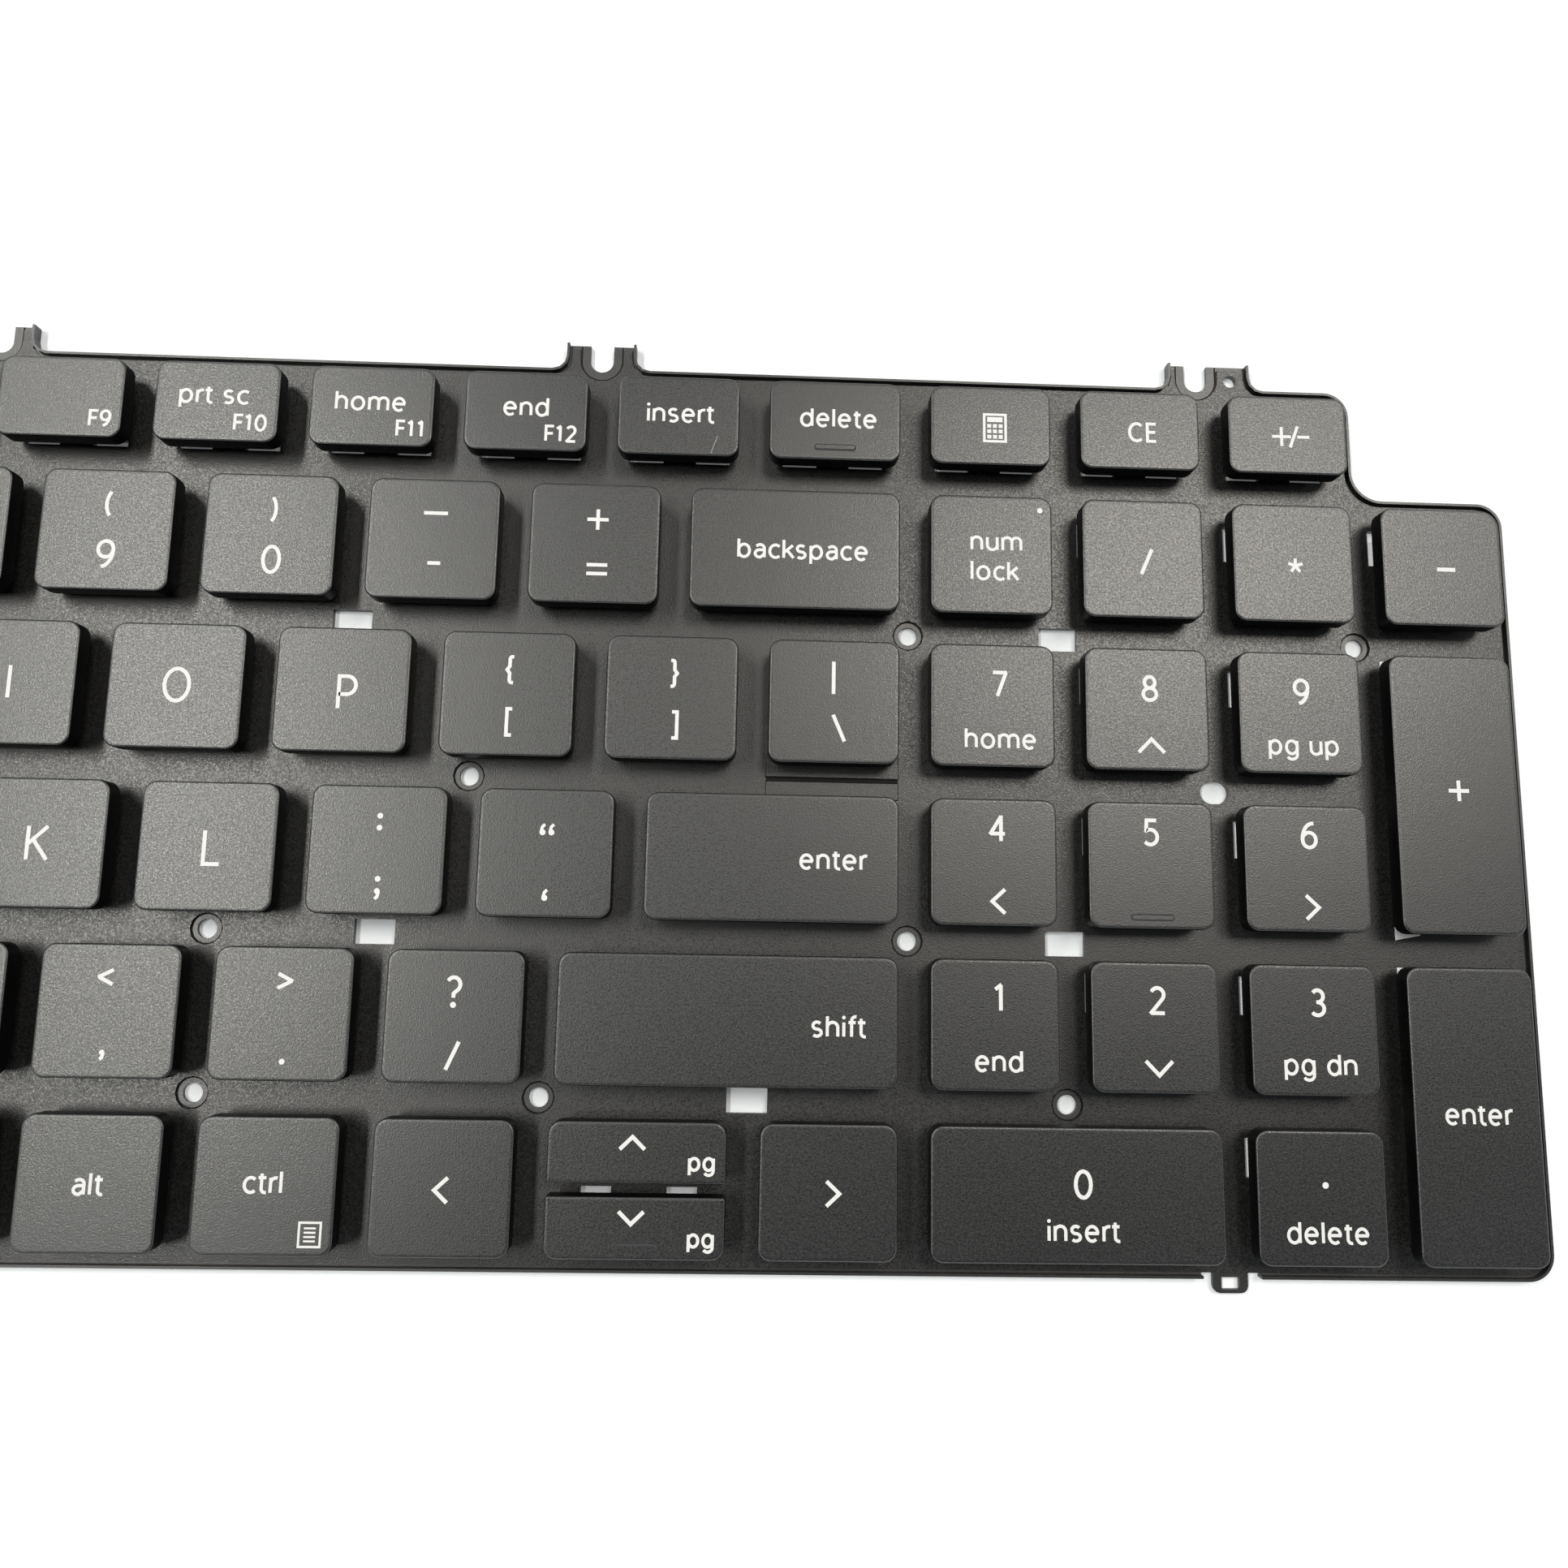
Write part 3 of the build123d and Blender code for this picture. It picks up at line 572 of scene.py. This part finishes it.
# %% The pen
class Pen:
    """Collects thin closed bars and dots on the level of the cap tops, in millimetres."""

    def __init__(self, level, thick=0.012, sink=0.02):
        self.low, self.high = level - sink, level + thick
        self.points, self.faces = [], []

    def step(self):
        """Each stroke ends a hair above the last, so that no two of their faces share a plane."""
        self.high += 0.0004

    def line(self, path, width):
        """A pen line. At a corner sharper than a right angle it is parted into two bars that overlap."""
        path = [np.array(p) for i, p in enumerate(path) if i == 0 or math.dist(p, path[i - 1]) > 1e-4]
        begin = 0
        for i in range(1, len(path) - 1):
            before, after = path[i] - path[i - 1], path[i + 1] - path[i]
            if np.dot(before, after) < -0.17 * np.linalg.norm(before) * np.linalg.norm(after):
                lap = before / np.linalg.norm(before) * width * 0.3
                self.bar(path[begin:i] + [path[i] + lap], width)
                begin = i
        self.bar(path[begin:], width)

    def bar(self, path, width):
        """A bar of even width along a path, closed to a ring if the path ends where it begins."""
        path = list(path)
        ring = len(path) > 3 and np.linalg.norm(path[0] - path[-1]) < 1e-3
        if ring:
            path.pop()
        count, start = len(path), len(self.points)
        self.step()
        for i in range(count):
            before = path[i] - path[i - 1] if ring or i else path[1] - path[0]
            after = path[(i + 1) % count] - path[i] if ring or i < count - 1 else before
            before, after = before / np.linalg.norm(before), after / np.linalg.norm(after)
            mitre = np.array([-before[1] - after[1], before[0] + after[0]])
            size = np.linalg.norm(mitre)
            mitre = mitre / size * min(2 / size, 1.8) * width / 2
            for edge_point in (path[i] + mitre, path[i] - mitre):
                self.points += [(*edge_point, self.low), (*edge_point, self.high)]
        for i in range(count if ring else count - 1):
            a, b = start + 4 * i, start + 4 * ((i + 1) % count)
            self.faces += [(a + 3, b + 3, b + 1, a + 1), (a, b, b + 2, a + 2), (a + 1, b + 1, b, a),
                           (a + 2, b + 2, b + 3, a + 3)]
        if not ring:
            end = start + 4 * (count - 1)
            self.faces += [(start + 1, start, start + 2, start + 3), (end + 3, end + 2, end, end + 1)]

    def dot(self, x, y, radius, sides=16):
        start = len(self.points)
        self.step()
        for i in range(sides):
            angle = 2 * math.pi * i / sides
            spot = (x + radius * math.cos(angle), y + radius * math.sin(angle))
            self.points += [(*spot, self.low), (*spot, self.high)]
        ring = [start + 2 * i for i in range(sides)]
        self.faces += [tuple(i + 1 for i in ring), tuple(reversed(ring))]
        self.faces += [(a, b, b + 1, a + 1) for a, b in zip(ring, ring[1:] + ring[:1])]

    def write(self, text, x, y, size, align="middle"):
        """A word with its baseline at y; x is its middle, start or end."""
        unit, width = size
        signs = ["P/M"] if text == "P/M" else list(text)
        laid, place = [], 0.0
        for sign in signs:
            if sign == " ":
                place += WORD_SPACE
                continue
            small = sign.islower()
            lines, dots = strokes_of(sign)
            scale = STRETCH[small]
            lines = [[(px * scale, py) for px, py in points] for points in lines]
            dots = [(px * scale, py, radius) for px, py, radius in dots]
            reach = [px for points in lines for px, py in points] + [px for px, py, radius in dots]
            place -= CLOSE.get(sign, 0.0) if laid else 0.0
            shift = place - min(reach)
            laid.append((lines, dots, shift))
            last_gap = TIGHT.get(sign, GAP[small])
            place += max(reach) - min(reach) + last_gap
        total = (place - last_gap) * unit
        start = {"middle": x - total / 2, "start": x + width / 2, "end": x - total - width / 2}[align]
        for lines, dots, shift in laid:
            for points in lines:
                self.line([(start + (px + shift) * unit, y + py * unit) for px, py in points], width)
            for px, py, radius in dots:
                self.dot(start + (px + shift) * unit, y + py * unit, radius * unit)

    def chevron(self, x, y, across, along, way, width=0.42):
        """An arrow head that points left, right, up or down."""
        a, b = across / 2, along / 2
        path = {"left": [(a, b), (-a, 0), (a, -b)], "right": [(-a, b), (a, 0), (-a, -b)],
                "up": [(-a, -b), (0, b), (a, -b)], "down": [(-a, b), (0, -b), (a, b)]}[way]
        self.line([(x + px, y + py) for px, py in path], width)

    def mesh(self, material):
        made = bpy.data.meshes.new("ink")
        made.from_pydata([[v * MM for v in p] for p in self.points], [], self.faces)
        made.materials.append(material)
        return made


# %% [markdown]
# Which signs stand where, in millimetres from the middle of the cap or from its right edge. Words have
# small letters, letter keys a large capital, and the number row a sign over a digit.

# %% Legends of the keys that move
WORD, LETTER, DIGIT, PAD, SMALL = (0.212, 0.34), (0.371, 0.43), (0.307, 0.42), (0.277, 0.42), (0.182, 0.33)
SIGN, BRACE, PAGE = (0.285, 0.40), (0.29, 0.40), (0.172, 0.33)
LEGENDS = {
    "key_f9": [("F9", -1.1, -3.5, SMALL, "end")],
    "key_f10": [("prt sc", -0.3, -0.25, WORD), ("F10", -1.2, -3.5, SMALL, "end")],
    "key_f11": [("home", -0.2, -0.5, WORD), ("F11", -1.1, -3.6, SMALL, "end")],
    "key_f12": [("end", 0.0, -0.55, WORD), ("F12", -1.1, -3.65, SMALL, "end")],
    "key_insert": [("insert", 0.3, -0.75, WORD)], "key_delete": [("delete", 0.35, -0.75, WORD)],
    "key_clear_entry": [("CE", 0.35, -1.35, (0.218, 0.36))],
    "key_plus_minus": [("P/M", 0.35, -1.7, (0.295, 0.36))],
    "key_9": [("(", 0.1, 1.6, SIGN), ("9", 0.3, -4.5, DIGIT)],
    "key_0": [(")", 0.3, 1.5, SIGN), ("0", 0.4, -4.6, DIGIT)],
    "key_minus": [("_", 0.2, 1.5, DIGIT), ("-", 0.3, -4.5, DIGIT)],
    "key_equals": [("+", 0.3, 1.3, DIGIT), ("=", 0.4, -4.7, DIGIT)],
    "key_backspace": [("backspace", 0.85, -1.15, WORD)],
    "key_num_lock": [("num", -2.5, 0.55, WORD, "start"), ("lock", -2.5, -3.05, WORD, "start"),
        (".", 5.75, 5.5, (0.29, 0.3))],
    "pad_divide": [("/", 0.4, -1.9, (0.305, 0.42))], "pad_multiply": [("*", 0.2, -1.75, (0.28, 0.38))],
    "pad_subtract": [("-", 0.4, -2.6, (0.46, 0.48))], "key_o": [("O", 0.2, -1.8, LETTER)],
    "key_p": [("P", 0.6, -2.2, LETTER)],
    "key_bracket_open": [("{", 0.2, 1.3, BRACE), ("[", 0.35, -4.75, BRACE)],
    "key_bracket_close": [("}", 0.2, 1.35, BRACE), ("]", 0.4, -4.65, BRACE)],
    "key_backslash": [("|", -0.1, 0.85, (0.38, 0.42)), ("\\", 0.55, -4.65, DIGIT)],
    "pad_7": [("7", 0.8, 1.1, PAD), ("home", 0.85, -4.95, WORD)], "pad_8": [("8", 0.35, 1.05, PAD)],
    "pad_9": [("9", 0.2, 1.1, PAD), ("pg up", 0.2, -4.85, WORD)],
    "pad_add": [("+", 0.2, -1.2, (0.3, 0.44))], "key_l": [("L", 0.6, -2.0, LETTER)],
    "key_semicolon": [(":", 0.15, 1.75, (0.305, 0.4)), (";", 0.3, -4.6, (0.305, 0.36))],
    "key_quote": [('"', 0.15, 2.3, (0.32, 0.34)), ("'", 0.2, -5.0, (0.32, 0.34))],
    "key_enter": [("enter", -3.4, -1.15, WORD, "end")], "pad_4": [("4", 0.45, 2.4, PAD)],
    "pad_5": [("5", 0.05, 2.35, PAD)], "pad_6": [("6", 0.35, 2.4, PAD)],
    "key_comma": [("<", -0.4, 2.3, (0.26, 0.4)), (",", -0.1, -4.4, (0.26, 0.36))],
    "key_dot": [(">", 0.2, 2.2, (0.26, 0.4)), (".", 0.5, -5.1, (0.28, 0.3))],
    "key_slash": [("?", -0.1, 1.1, (0.31, 0.42)), ("/", 0.1, -5.7, (0.3, 0.42))],
    "key_shift_right": [("shift", -3.4, -1.5, WORD, "end")],
    "pad_1": [("1", 0.35, 1.6, PAD), ("end", 0.4, -4.95, WORD)], "pad_2": [("2", 0.3, 1.6, PAD)],
    "pad_3": [("3", 0.5, 1.65, PAD), ("pg dn", 0.5, -4.8, WORD)],
    "pad_enter": [("enter", 0.2, -0.9, WORD)], "key_alt_right": [("alt", 0.2, -1.05, WORD)],
    "key_ctrl_right": [("ctrl", -0.2, -0.65, WORD)], "key_arrow_up": [("pg", -1.2, -1.75, PAGE, "end")],
    "key_arrow_down": [("pg", -1.1, -1.8, PAGE, "end")],
    "pad_0": [("0", 0.55, -0.2, PAD), ("insert", 0.6, -4.7, WORD)],
    "pad_dot": [(".", 0.4, 1.4, (0.32, 0.3)), ("delete", 0.45, -4.65, WORD)],
}
ARROWS = {
    "pad_8": (0.4, -4.3, 3.0, 1.55, "up"), "pad_4": (0.5, -4.4, 1.45, 2.7, "left"),
    "pad_6": (0.4, -4.4, 1.45, 2.7, "right"), "pad_2": (0.3, -4.4, 3.0, 1.55, "down"),
    "key_arrow_left": (0.0, -0.2, 1.4, 2.6, "left"), "key_arrow_up": (-0.5, 1.0, 2.7, 1.3, "up"),
    "key_arrow_down": (-0.4, 1.1, 2.7, 1.3, "down"), "key_arrow_right": (0.5, -0.1, 1.4, 2.6, "right"),
}


def write_legends(pen, spot, entries):
    x, y, width, depth = spot
    for text, dx, dy, size, *align in entries:
        side = align[0] if align else "middle"
        base = x + width / 2 if side == "end" else x
        pen.write(text, base + dx, y + dy, size, side)


def frame_of(pen, x, y, wide, tall, line_width):
    """A rectangular outline, for the two pictograms."""
    a, b = wide / 2 - line_width / 2, tall / 2 - line_width / 2
    pen.line([(x - a, y - b), (x + a, y - b), (x + a, y + b), (x - a, y + b), (x - a, y - b)], line_width)


def pictogram(pen, name, x, y):
    if name == "key_calculator":
        x, y = x + 0.5, y - 0.3
        frame_of(pen, x, y, 2.86, 3.65, 0.3)
        pen.line([(x - 0.92, y + 1.05), (x + 0.92, y + 1.05)], 0.62)
        for column in (-0.68, 0.0, 0.68):
            for row in (0.25, -0.43, -1.11):
                pen.line([(x + column - 0.24, y + row), (x + column + 0.24, y + row)], 0.46)
    if name == "key_ctrl_right":
        x, y = x + 5.1, y - 4.9
        frame_of(pen, x, y, 2.5, 2.7, 0.24)
        for row in (0.66, 0.22, -0.22, -0.66):
            pen.line([(x - 0.62, y + row), (x + 0.62, y + row)], 0.2)


for name in keys:
    pen = Pen(cap_high / MM)
    spot = spot_of(name)
    write_legends(pen, spot, LEGENDS.get(name, []))
    if name in ARROWS:
        pen.chevron(spot[0] + ARROWS[name][0], spot[1] + ARROWS[name][1], *ARROWS[name][2:])
    pictogram(pen, name, spot[0], spot[1])
    piece("legend_" + name, pen.mesh(legend_ink), name + "_body")
print("legends", len(keys))

# %% [markdown]
# Under each cap two nylon frames cross like scissors round a rubber dome. One tree makes the pair: each
# frame is a bar swept round a rounded rectangle and leaned one way or the other, with a pin where they
# cross. The dome is three stacked rounds: a foot, a slanted wall and a plunger that meets the cap.

# %% The trees of the links and of the dome
link_play = 0.5
link_sizes = ["Run", "Span", "Bar", "Thickness", "Lean", "Turn"]
link_tree, link_in = new_tree("scissor_links", [(label, NUMBER) for label in link_sizes] + [
    ("Centre", VECTOR), ("Finish", MATERIAL)])


def leaning_frame(span, way):
    """A frame of bars, leaned about its middle."""
    loop = rounded(link_tree, calc(link_tree, "SUBTRACT", span, link_in["Bar"]),
                   calc(link_tree, "SUBTRACT", link_in["Run"], link_in["Bar"]), 0.5, 2)
    section = rounded(link_tree, link_in["Bar"], link_in["Thickness"], 0.12, 1)
    swept = add(link_tree, "GeometryNodeCurveToMesh", {"Curve": loop, "Profile Curve": section}).outputs[0]
    return turned(link_tree, swept, at(link_tree, calc(link_tree, "MULTIPLY", link_in["Lean"], way)))


two_bars = calc(link_tree, "MULTIPLY", link_in["Bar"], 2.0)
between = calc(link_tree, "SUBTRACT", link_in["Span"], two_bars)
inner_span = calc(link_tree, "SUBTRACT", between, link_play)
pin = add(link_tree, "GeometryNodeMeshCylinder", {"Vertices": 10, "Radius": 0.2, "Depth": link_in["Bar"]},
          fill_type="NGON").outputs[0]
pin = turned(link_tree, pin, (0, math.pi / 2, 0))
reach = calc(link_tree, "MULTIPLY", between, 0.5)
pins = [moved(link_tree, pin, at(link_tree, calc(link_tree, "MULTIPLY", reach, way))) for way in (1.0, -1.0)]
pair = join(link_tree, leaning_frame(link_in["Span"], 1.0), leaning_frame(inner_span, -1.0), *pins)
pair = turned(link_tree, pair, at(link_tree, z=link_in["Turn"]))
finish_tree(link_tree, pair, link_in["Centre"], link_in["Finish"], 0.001)

dome_tree, dome_in = new_tree("rubber_dome", [
    ("Foot", NUMBER), ("Crown", NUMBER), ("Height", NUMBER), ("Centre", VECTOR), ("Finish", MATERIAL)])


def round_part(low, high, bottom, top):
    """A round between two levels, given as shares of the dome's height."""
    tall = calc(dome_tree, "MULTIPLY", dome_in["Height"], high - low)
    sizes = {"Vertices": 20, "Radius Bottom": bottom, "Radius Top": top, "Depth": tall}
    cone = add(dome_tree, "GeometryNodeMeshCone", sizes, fill_type="NGON").outputs[0]
    return moved(dome_tree, cone, at(dome_tree, z=calc(dome_tree, "MULTIPLY", dome_in["Height"], low)))


neck = calc(dome_tree, "MULTIPLY", dome_in["Crown"], 0.78)
dome = join(dome_tree, round_part(0.0, 0.1, dome_in["Foot"], dome_in["Foot"]),
            round_part(0.1, 0.68, calc(dome_tree, "MULTIPLY", dome_in["Foot"], 0.92), dome_in["Crown"]),
            round_part(0.68, 0.86, neck, neck), round_part(0.86, 1.0, dome_in["Crown"], dome_in["Crown"]))
finish_tree(dome_tree, dome, dome_in["Centre"], dome_in["Finish"], 0.0001)

# %% [markdown]
# When a key goes down its frames fold and its dome buckles, but here the links and the dome are made at
# rest, sized to the room between the sheet and the ceiling of the cap, and they ride on the base.

# %% Links and domes of the keys that move
sheet_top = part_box("cover_sheet")[1][2]
roof = cap_high - cap_roof * MM
LINK_THICK, SEAT, SIDE_ROOM = 0.6, 0.06, 2.6


def works_of(spot):
    """Meshes of the links and of the dome that fit under a cap."""
    x, y, width, depth = spot
    sideways = depth < width / 2
    along, across = (width, depth) if sideways else (depth, width)
    run = min(10.5, along - SIDE_ROOM)
    span = min(10.0, across - SIDE_ROOM)
    bar_size = 0.4 if sideways else 0.9
    tall = (roof - sheet_top) / MM
    lean = math.asin((tall - 2 * SEAT) / math.hypot(run, LINK_THICK)) - math.atan2(LINK_THICK, run)
    links = grow(link_tree, {"Run": run, "Span": span, "Bar": bar_size, "Thickness": LINK_THICK,
                             "Lean": lean, "Turn": math.pi / 2 if sideways else 0.0,
                             "Centre": (x * MM, y * MM, (sheet_top + roof) / 2), "Finish": link_nylon})
    room = min((run - 2 * bar_size) * math.cos(lean), span - 4 * bar_size - link_play) - link_play
    dome_mesh = grow(dome_tree, {"Foot": min(2.1, room / 2), "Crown": min(1.4, room / 2 * 0.8),
                                 "Height": tall - 0.02, "Centre": (x * MM, y * MM, sheet_top),
                                 "Finish": dome_rubber})
    return links, dome_mesh


for name in keys:
    spot = spot_of(name)
    links, dome_mesh = works_of(spot)
    for label, mesh, slot, nodes in (("links_", links, "link", ("outer_links", "inner_links")),
                                     ("dome_", dome_mesh, "dome", ("rubber_domes",))):
        made = piece(label + name, mesh, "base", nodes)
        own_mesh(made)

# %% [markdown]
# The keys at the left carry on the same rows. They do not move in this model, so all their caps are one
# piece, their legends another, and their links and domes two more. Each row starts at the left edge of the
# group, and its height comes from a key of the same row.

# %% Keys at the left
GAP_X, CAP_X = 3.6, 15.0
left_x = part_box("left_keys")[0][0] / MM
ROWS = [
    ("key_f9", [("esc", 13.8)] + [(f"F{i}", 14.35) for i in range(1, 9)]),
    ("key_9", [(pair_, CAP_X) for pair_ in ("~`", "!1", "@2", "#3", "$4", "%5", "^6", "&7", "*8")]),
    ("key_o", [("tab", 24.5)] + [(c, CAP_X) for c in "QWERTYUI"]),
    ("key_l", [("caps lock", 29.6)] + [(c, CAP_X) for c in "ASDFGHJK"]),
    ("key_comma", [("shift", 39.1)] + [(c, CAP_X) for c in "ZXCVBNM"]),
    ("key_alt_right", [("ctrl", 19.7), ("fn", CAP_X), ("", CAP_X), ("alt", CAP_X), ("", None)]),
]
left_spots = []
for first, row in ROWS:
    x, (fx, fy, fw, fd) = left_x, spot_of(first)
    for text, width in row:
        width = width or fx - fw / 2 - GAP_X - x
        left_spots.append((text, (x + width / 2, fy, width, fd)))
        x += width + GAP_X


def joined(meshes, name):
    """Several meshes as one, with the first one's materials."""
    points, faces, smooth, sharp, finish_numbers = [], [], [], [], []
    for mesh in meshes:
        start = len(points)
        points += [tuple(v.co) for v in mesh.vertices]
        faces += [tuple(i + start for i in p.vertices) for p in mesh.polygons]
        smooth += [p.use_smooth for p in mesh.polygons]
        finish_numbers += [p.material_index for p in mesh.polygons]
        sharp += [tuple(i + start for i in e.vertices) for e in mesh.edges if e.use_edge_sharp]
    made = bpy.data.meshes.new(name)
    made.from_pydata(points, [], faces)
    made.polygons.foreach_set("use_smooth", smooth)
    hard = {tuple(sorted(pair_)) for pair_ in sharp}
    for e in made.edges:
        e.use_edge_sharp = tuple(sorted(e.vertices)) in hard
    for material in meshes[0].materials:
        made.materials.append(material)
    made.polygons.foreach_set("material_index", finish_numbers)
    for mesh in meshes:
        bpy.data.meshes.remove(mesh)
    return made


pen = Pen(cap_high / MM)
for text, spot in left_spots:
    x, y, width, depth = spot
    if text in ("tab", "shift", "ctrl", "caps lock"):
        pen.write(text, x - width / 2 + 3.4, y - 1.15, WORD, "start")
    elif len(text) == 2 and text[0] == "F":
        pen.write(text, x + width / 2 - 1.1, y - 3.5, SMALL, "end")
    elif len(text) == 2 and text[1].isdigit() or text == "~`":
        pen.write(text[0], x + 0.2, y + 1.5, SIGN)
        pen.write(text[1], x + 0.3, y - 4.5, DIGIT)
    elif len(text) == 1:
        pen.write(text, x + 0.3, y - 1.9, LETTER)
    elif text:
        pen.write(text, x + 0.2, y - 1.0, WORD)
    if text == "caps lock":
        pen.dot(x + width / 2 - 1.6, y + 5.5, 0.32)
left_caps = joined([cap_mesh(*spot) for text, spot in left_spots], "left_caps")
piece("left_caps", left_caps, "base", ["left_keys"])
piece("left_legends", pen.mesh(legend_ink), "base")
works = [works_of(spot) for text, spot in left_spots]
left_links = joined([links for links, dome_mesh in works], "left_links")
piece("left_links", left_links, "base", ("outer_links", "inner_links"))
left_domes = joined([dome_mesh for links, dome_mesh in works], "left_domes")
piece("left_domes", left_domes, "base", ("rubber_domes",))
print("left keys", len(left_spots))

# %% [markdown]
# The sheet and the plate keep their CAD shapes, which already have the rings, windows and the turned-up
# edge. They only get their finishes.

# %% Sheet and plate
for name, material in (("cover_sheet", sheet_film), ("base_plate", plate_paint)):
    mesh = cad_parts[name].data
    mesh.materials.clear()
    mesh.materials.append(material)
print("sheet and plate finished")

# %% [markdown]
# Round each screw hole and each notch of the rear tabs the sheet is cut back, and the step at the cut edge
# shows as a dark line of shade. A thin black washer or horseshoe that lies on the plate just inside the cut
# paints that shade in.

# %% Painted shade lines in the rings
# A black finish that paints shade: lines in the gaps and slots that lie in shade.
line_black = finish_of("line_black", grey(0.003), grey(0.006),
                       patch=200, grain=4000, rough=(0.6, 0.7), bump=0.05, shine=0.2)
SCREWS = [(98.75, 19.35), (152.95, 19.35), (47.75, 1.3), (19.35, -16.75), (98.75, -16.75),
          (19.35, -34.8), (57.45, -34.8), (117.05, -34.8)]
NOTCHES = [(134.6, 53.0), (61.05, 53.0), (-11.15, 53.0)]
SCREW_RING, NOTCH_RING, SHADE_LINE_WIDTH = 1.7, 2.48, 0.16
plate_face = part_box("cover_sheet")[0][2] / MM
tab_end = cad_box[1][1] / MM - 0.06


def arc_points(x, y, radius, begin, end, steps):
    """Points along an arc, counted anticlockwise in degrees."""
    angles = [math.radians(begin + (end - begin) * i / steps) for i in range(steps + 1)]
    return [np.array((x + radius * math.cos(a), y + radius * math.sin(a))) for a in angles]


pen = Pen(plate_face, 0.03)
for x, y in SCREWS:
    pen.bar(arc_points(x, y, SCREW_RING, 0, 360, 36), SHADE_LINE_WIDTH)
for x, y in NOTCHES:
    horseshoe = arc_points(x, y, NOTCH_RING, 180, 360, 18)
    left_end, right_end = [np.array((x + way * NOTCH_RING, tab_end)) for way in (-1, 1)]
    pen.bar([left_end] + horseshoe + [right_end], SHADE_LINE_WIDTH)
piece("ring_lines", pen.mesh(line_black), "base")
print("ring lines", len(SCREWS), "and", len(NOTCHES))

# %% [markdown]
# In front of the key with the slanted bar a strip of film is folded over the sheet in two steps, with a slot
# between them. Two thin boxes with chamfered upper edges make it. The slot is dark with shade, and a black
# bar laid in it paints that shade. Each fold is given as its rear and front edge, measured from the front of
# the cap, and its rise.

# %% Folded strip on the sheet
def thin_box(low, top, r):
    """A closed box in millimetres whose upper edges are chamfered by r."""
    (x0, y0, z0), (x1, y1, z1) = low, top
    points = [(x0, y0, z0), (x1, y0, z0), (x1, y1, z0), (x0, y1, z0),
              (x0, y0, z1 - r), (x1, y0, z1 - r), (x1, y1, z1 - r), (x0, y1, z1 - r),
              (x0 + r, y0 + r, z1), (x1 - r, y0 + r, z1), (x1 - r, y1 - r, z1), (x0 + r, y1 - r, z1)]
    faces = [(3, 2, 1, 0), (8, 9, 10, 11)]
    for i in range(4):
        j = (i + 1) % 4
        faces += [(i, j, j + 4, i + 4), (i + 4, j + 4, j + 8, i + 8)]
    return points, faces


x, y, width, depth = spot_of("key_backslash")
front_edge = y - depth / 2
level = sheet_top / MM
strip_points, strip_faces = [], []
strip_left, strip_right = x - width / 2 - 0.15, x + width / 2 + 0.4
FOLDS = [(1.5, -1.2, 0.34), (-1.65, -3.65, 0.2)]
for rear, front_y, fold_rise in FOLDS:
    points, faces = thin_box((strip_left, front_edge + front_y, level - 0.05),
                             (strip_right, front_edge + rear, level + fold_rise), 0.08)
    strip_faces += [tuple(i + len(strip_points) for i in face) for face in faces]
    strip_points += points
strip = bpy.data.meshes.new("folded_strip")
strip.from_pydata([[v * MM for v in p] for p in strip_points], [], strip_faces)
strip.materials.append(sheet_film)
piece("folded_strip", strip, "base")
# The slot between the folds is painted shade: a black bar laid on the sheet.
pen = Pen(level, 0.05)
slot_y, slot_width, slot_inset = front_edge - 1.42, 0.42, 0.05
slot_ends = [np.array((end, slot_y)) for end in (strip_left + slot_inset, strip_right - slot_inset)]
pen.bar(slot_ends, slot_width)
piece("strip_slot", pen.mesh(line_black), "base")
print("strip in front of the key at", round(x, 1), round(front_edge, 1))

# %% [markdown]
# A fine scratch, a mark of use, runs to the front edge of one cap. At the left corners of the two tall keys
# the bright table shows through small openings of the plate, and thin white leaves on the sheet paint that
# light in. The scratch is a pen line and the light is thin leaves, because a mark in the shared finish would
# show on every cap.

# %% Scratch and corner leaves
scuff_grey = finish_of("scuff_grey", grey(0.22), grey(0.38),
                       patch=600, grain=9000, rough=(0.5, 0.6), bump=0.1, shine=0.4)
film_white = finish_of("film_white", grey(0.74), grey(0.82),
                       patch=200, grain=4000, rough=(0.5, 0.6), bump=0.1, shine=0.4)
SCRATCH = [(4.65, -2.4), (4.22, -3.62), (3.9, -4.6)]
x, y, width, depth = spot_of("key_insert")
pen = Pen(cap_high / MM)
pen.line([(x + dx, y + dy) for dx, dy in SCRATCH], 0.09)
piece("scratch_key_insert", pen.mesh(scuff_grey), "key_insert_body")
# White leaves of painted light, where the bright table shows through small openings beside the tall keys.
LEAVES = [[(155.9, -15.6), (158.9, -15.0), (158.9, -14.0), (155.9, -14.0)],
          [(155.9, -20.7), (157.3, -20.7), (157.3, -18.75), (155.9, -18.75)],
          [(155.85, 16.9), (156.9, 16.9), (156.9, 17.7), (155.85, 17.7)]]
leaf_points, leaf_faces = [], []
for corners in LEAVES:
    start = len(leaf_points)
    leaf_points += [(px, py, level + lift) for lift in (-0.02, 0.03) for px, py in corners]
    leaf_faces += [tuple(start + i for i in (3, 2, 1, 0)), tuple(start + i for i in (4, 5, 6, 7))]
    for i in range(4):
        j = (i + 1) % 4
        leaf_faces.append((start + i, start + j, start + j + 4, start + i + 4))
leaves = bpy.data.meshes.new("corner_leaves")
leaves.from_pydata([[v * MM for v in p] for p in leaf_points], [], leaf_faces)
leaves.materials.append(film_white)
piece("corner_leaves", leaves, "base")
print("scratch and", len(LEAVES), "corner leaves")
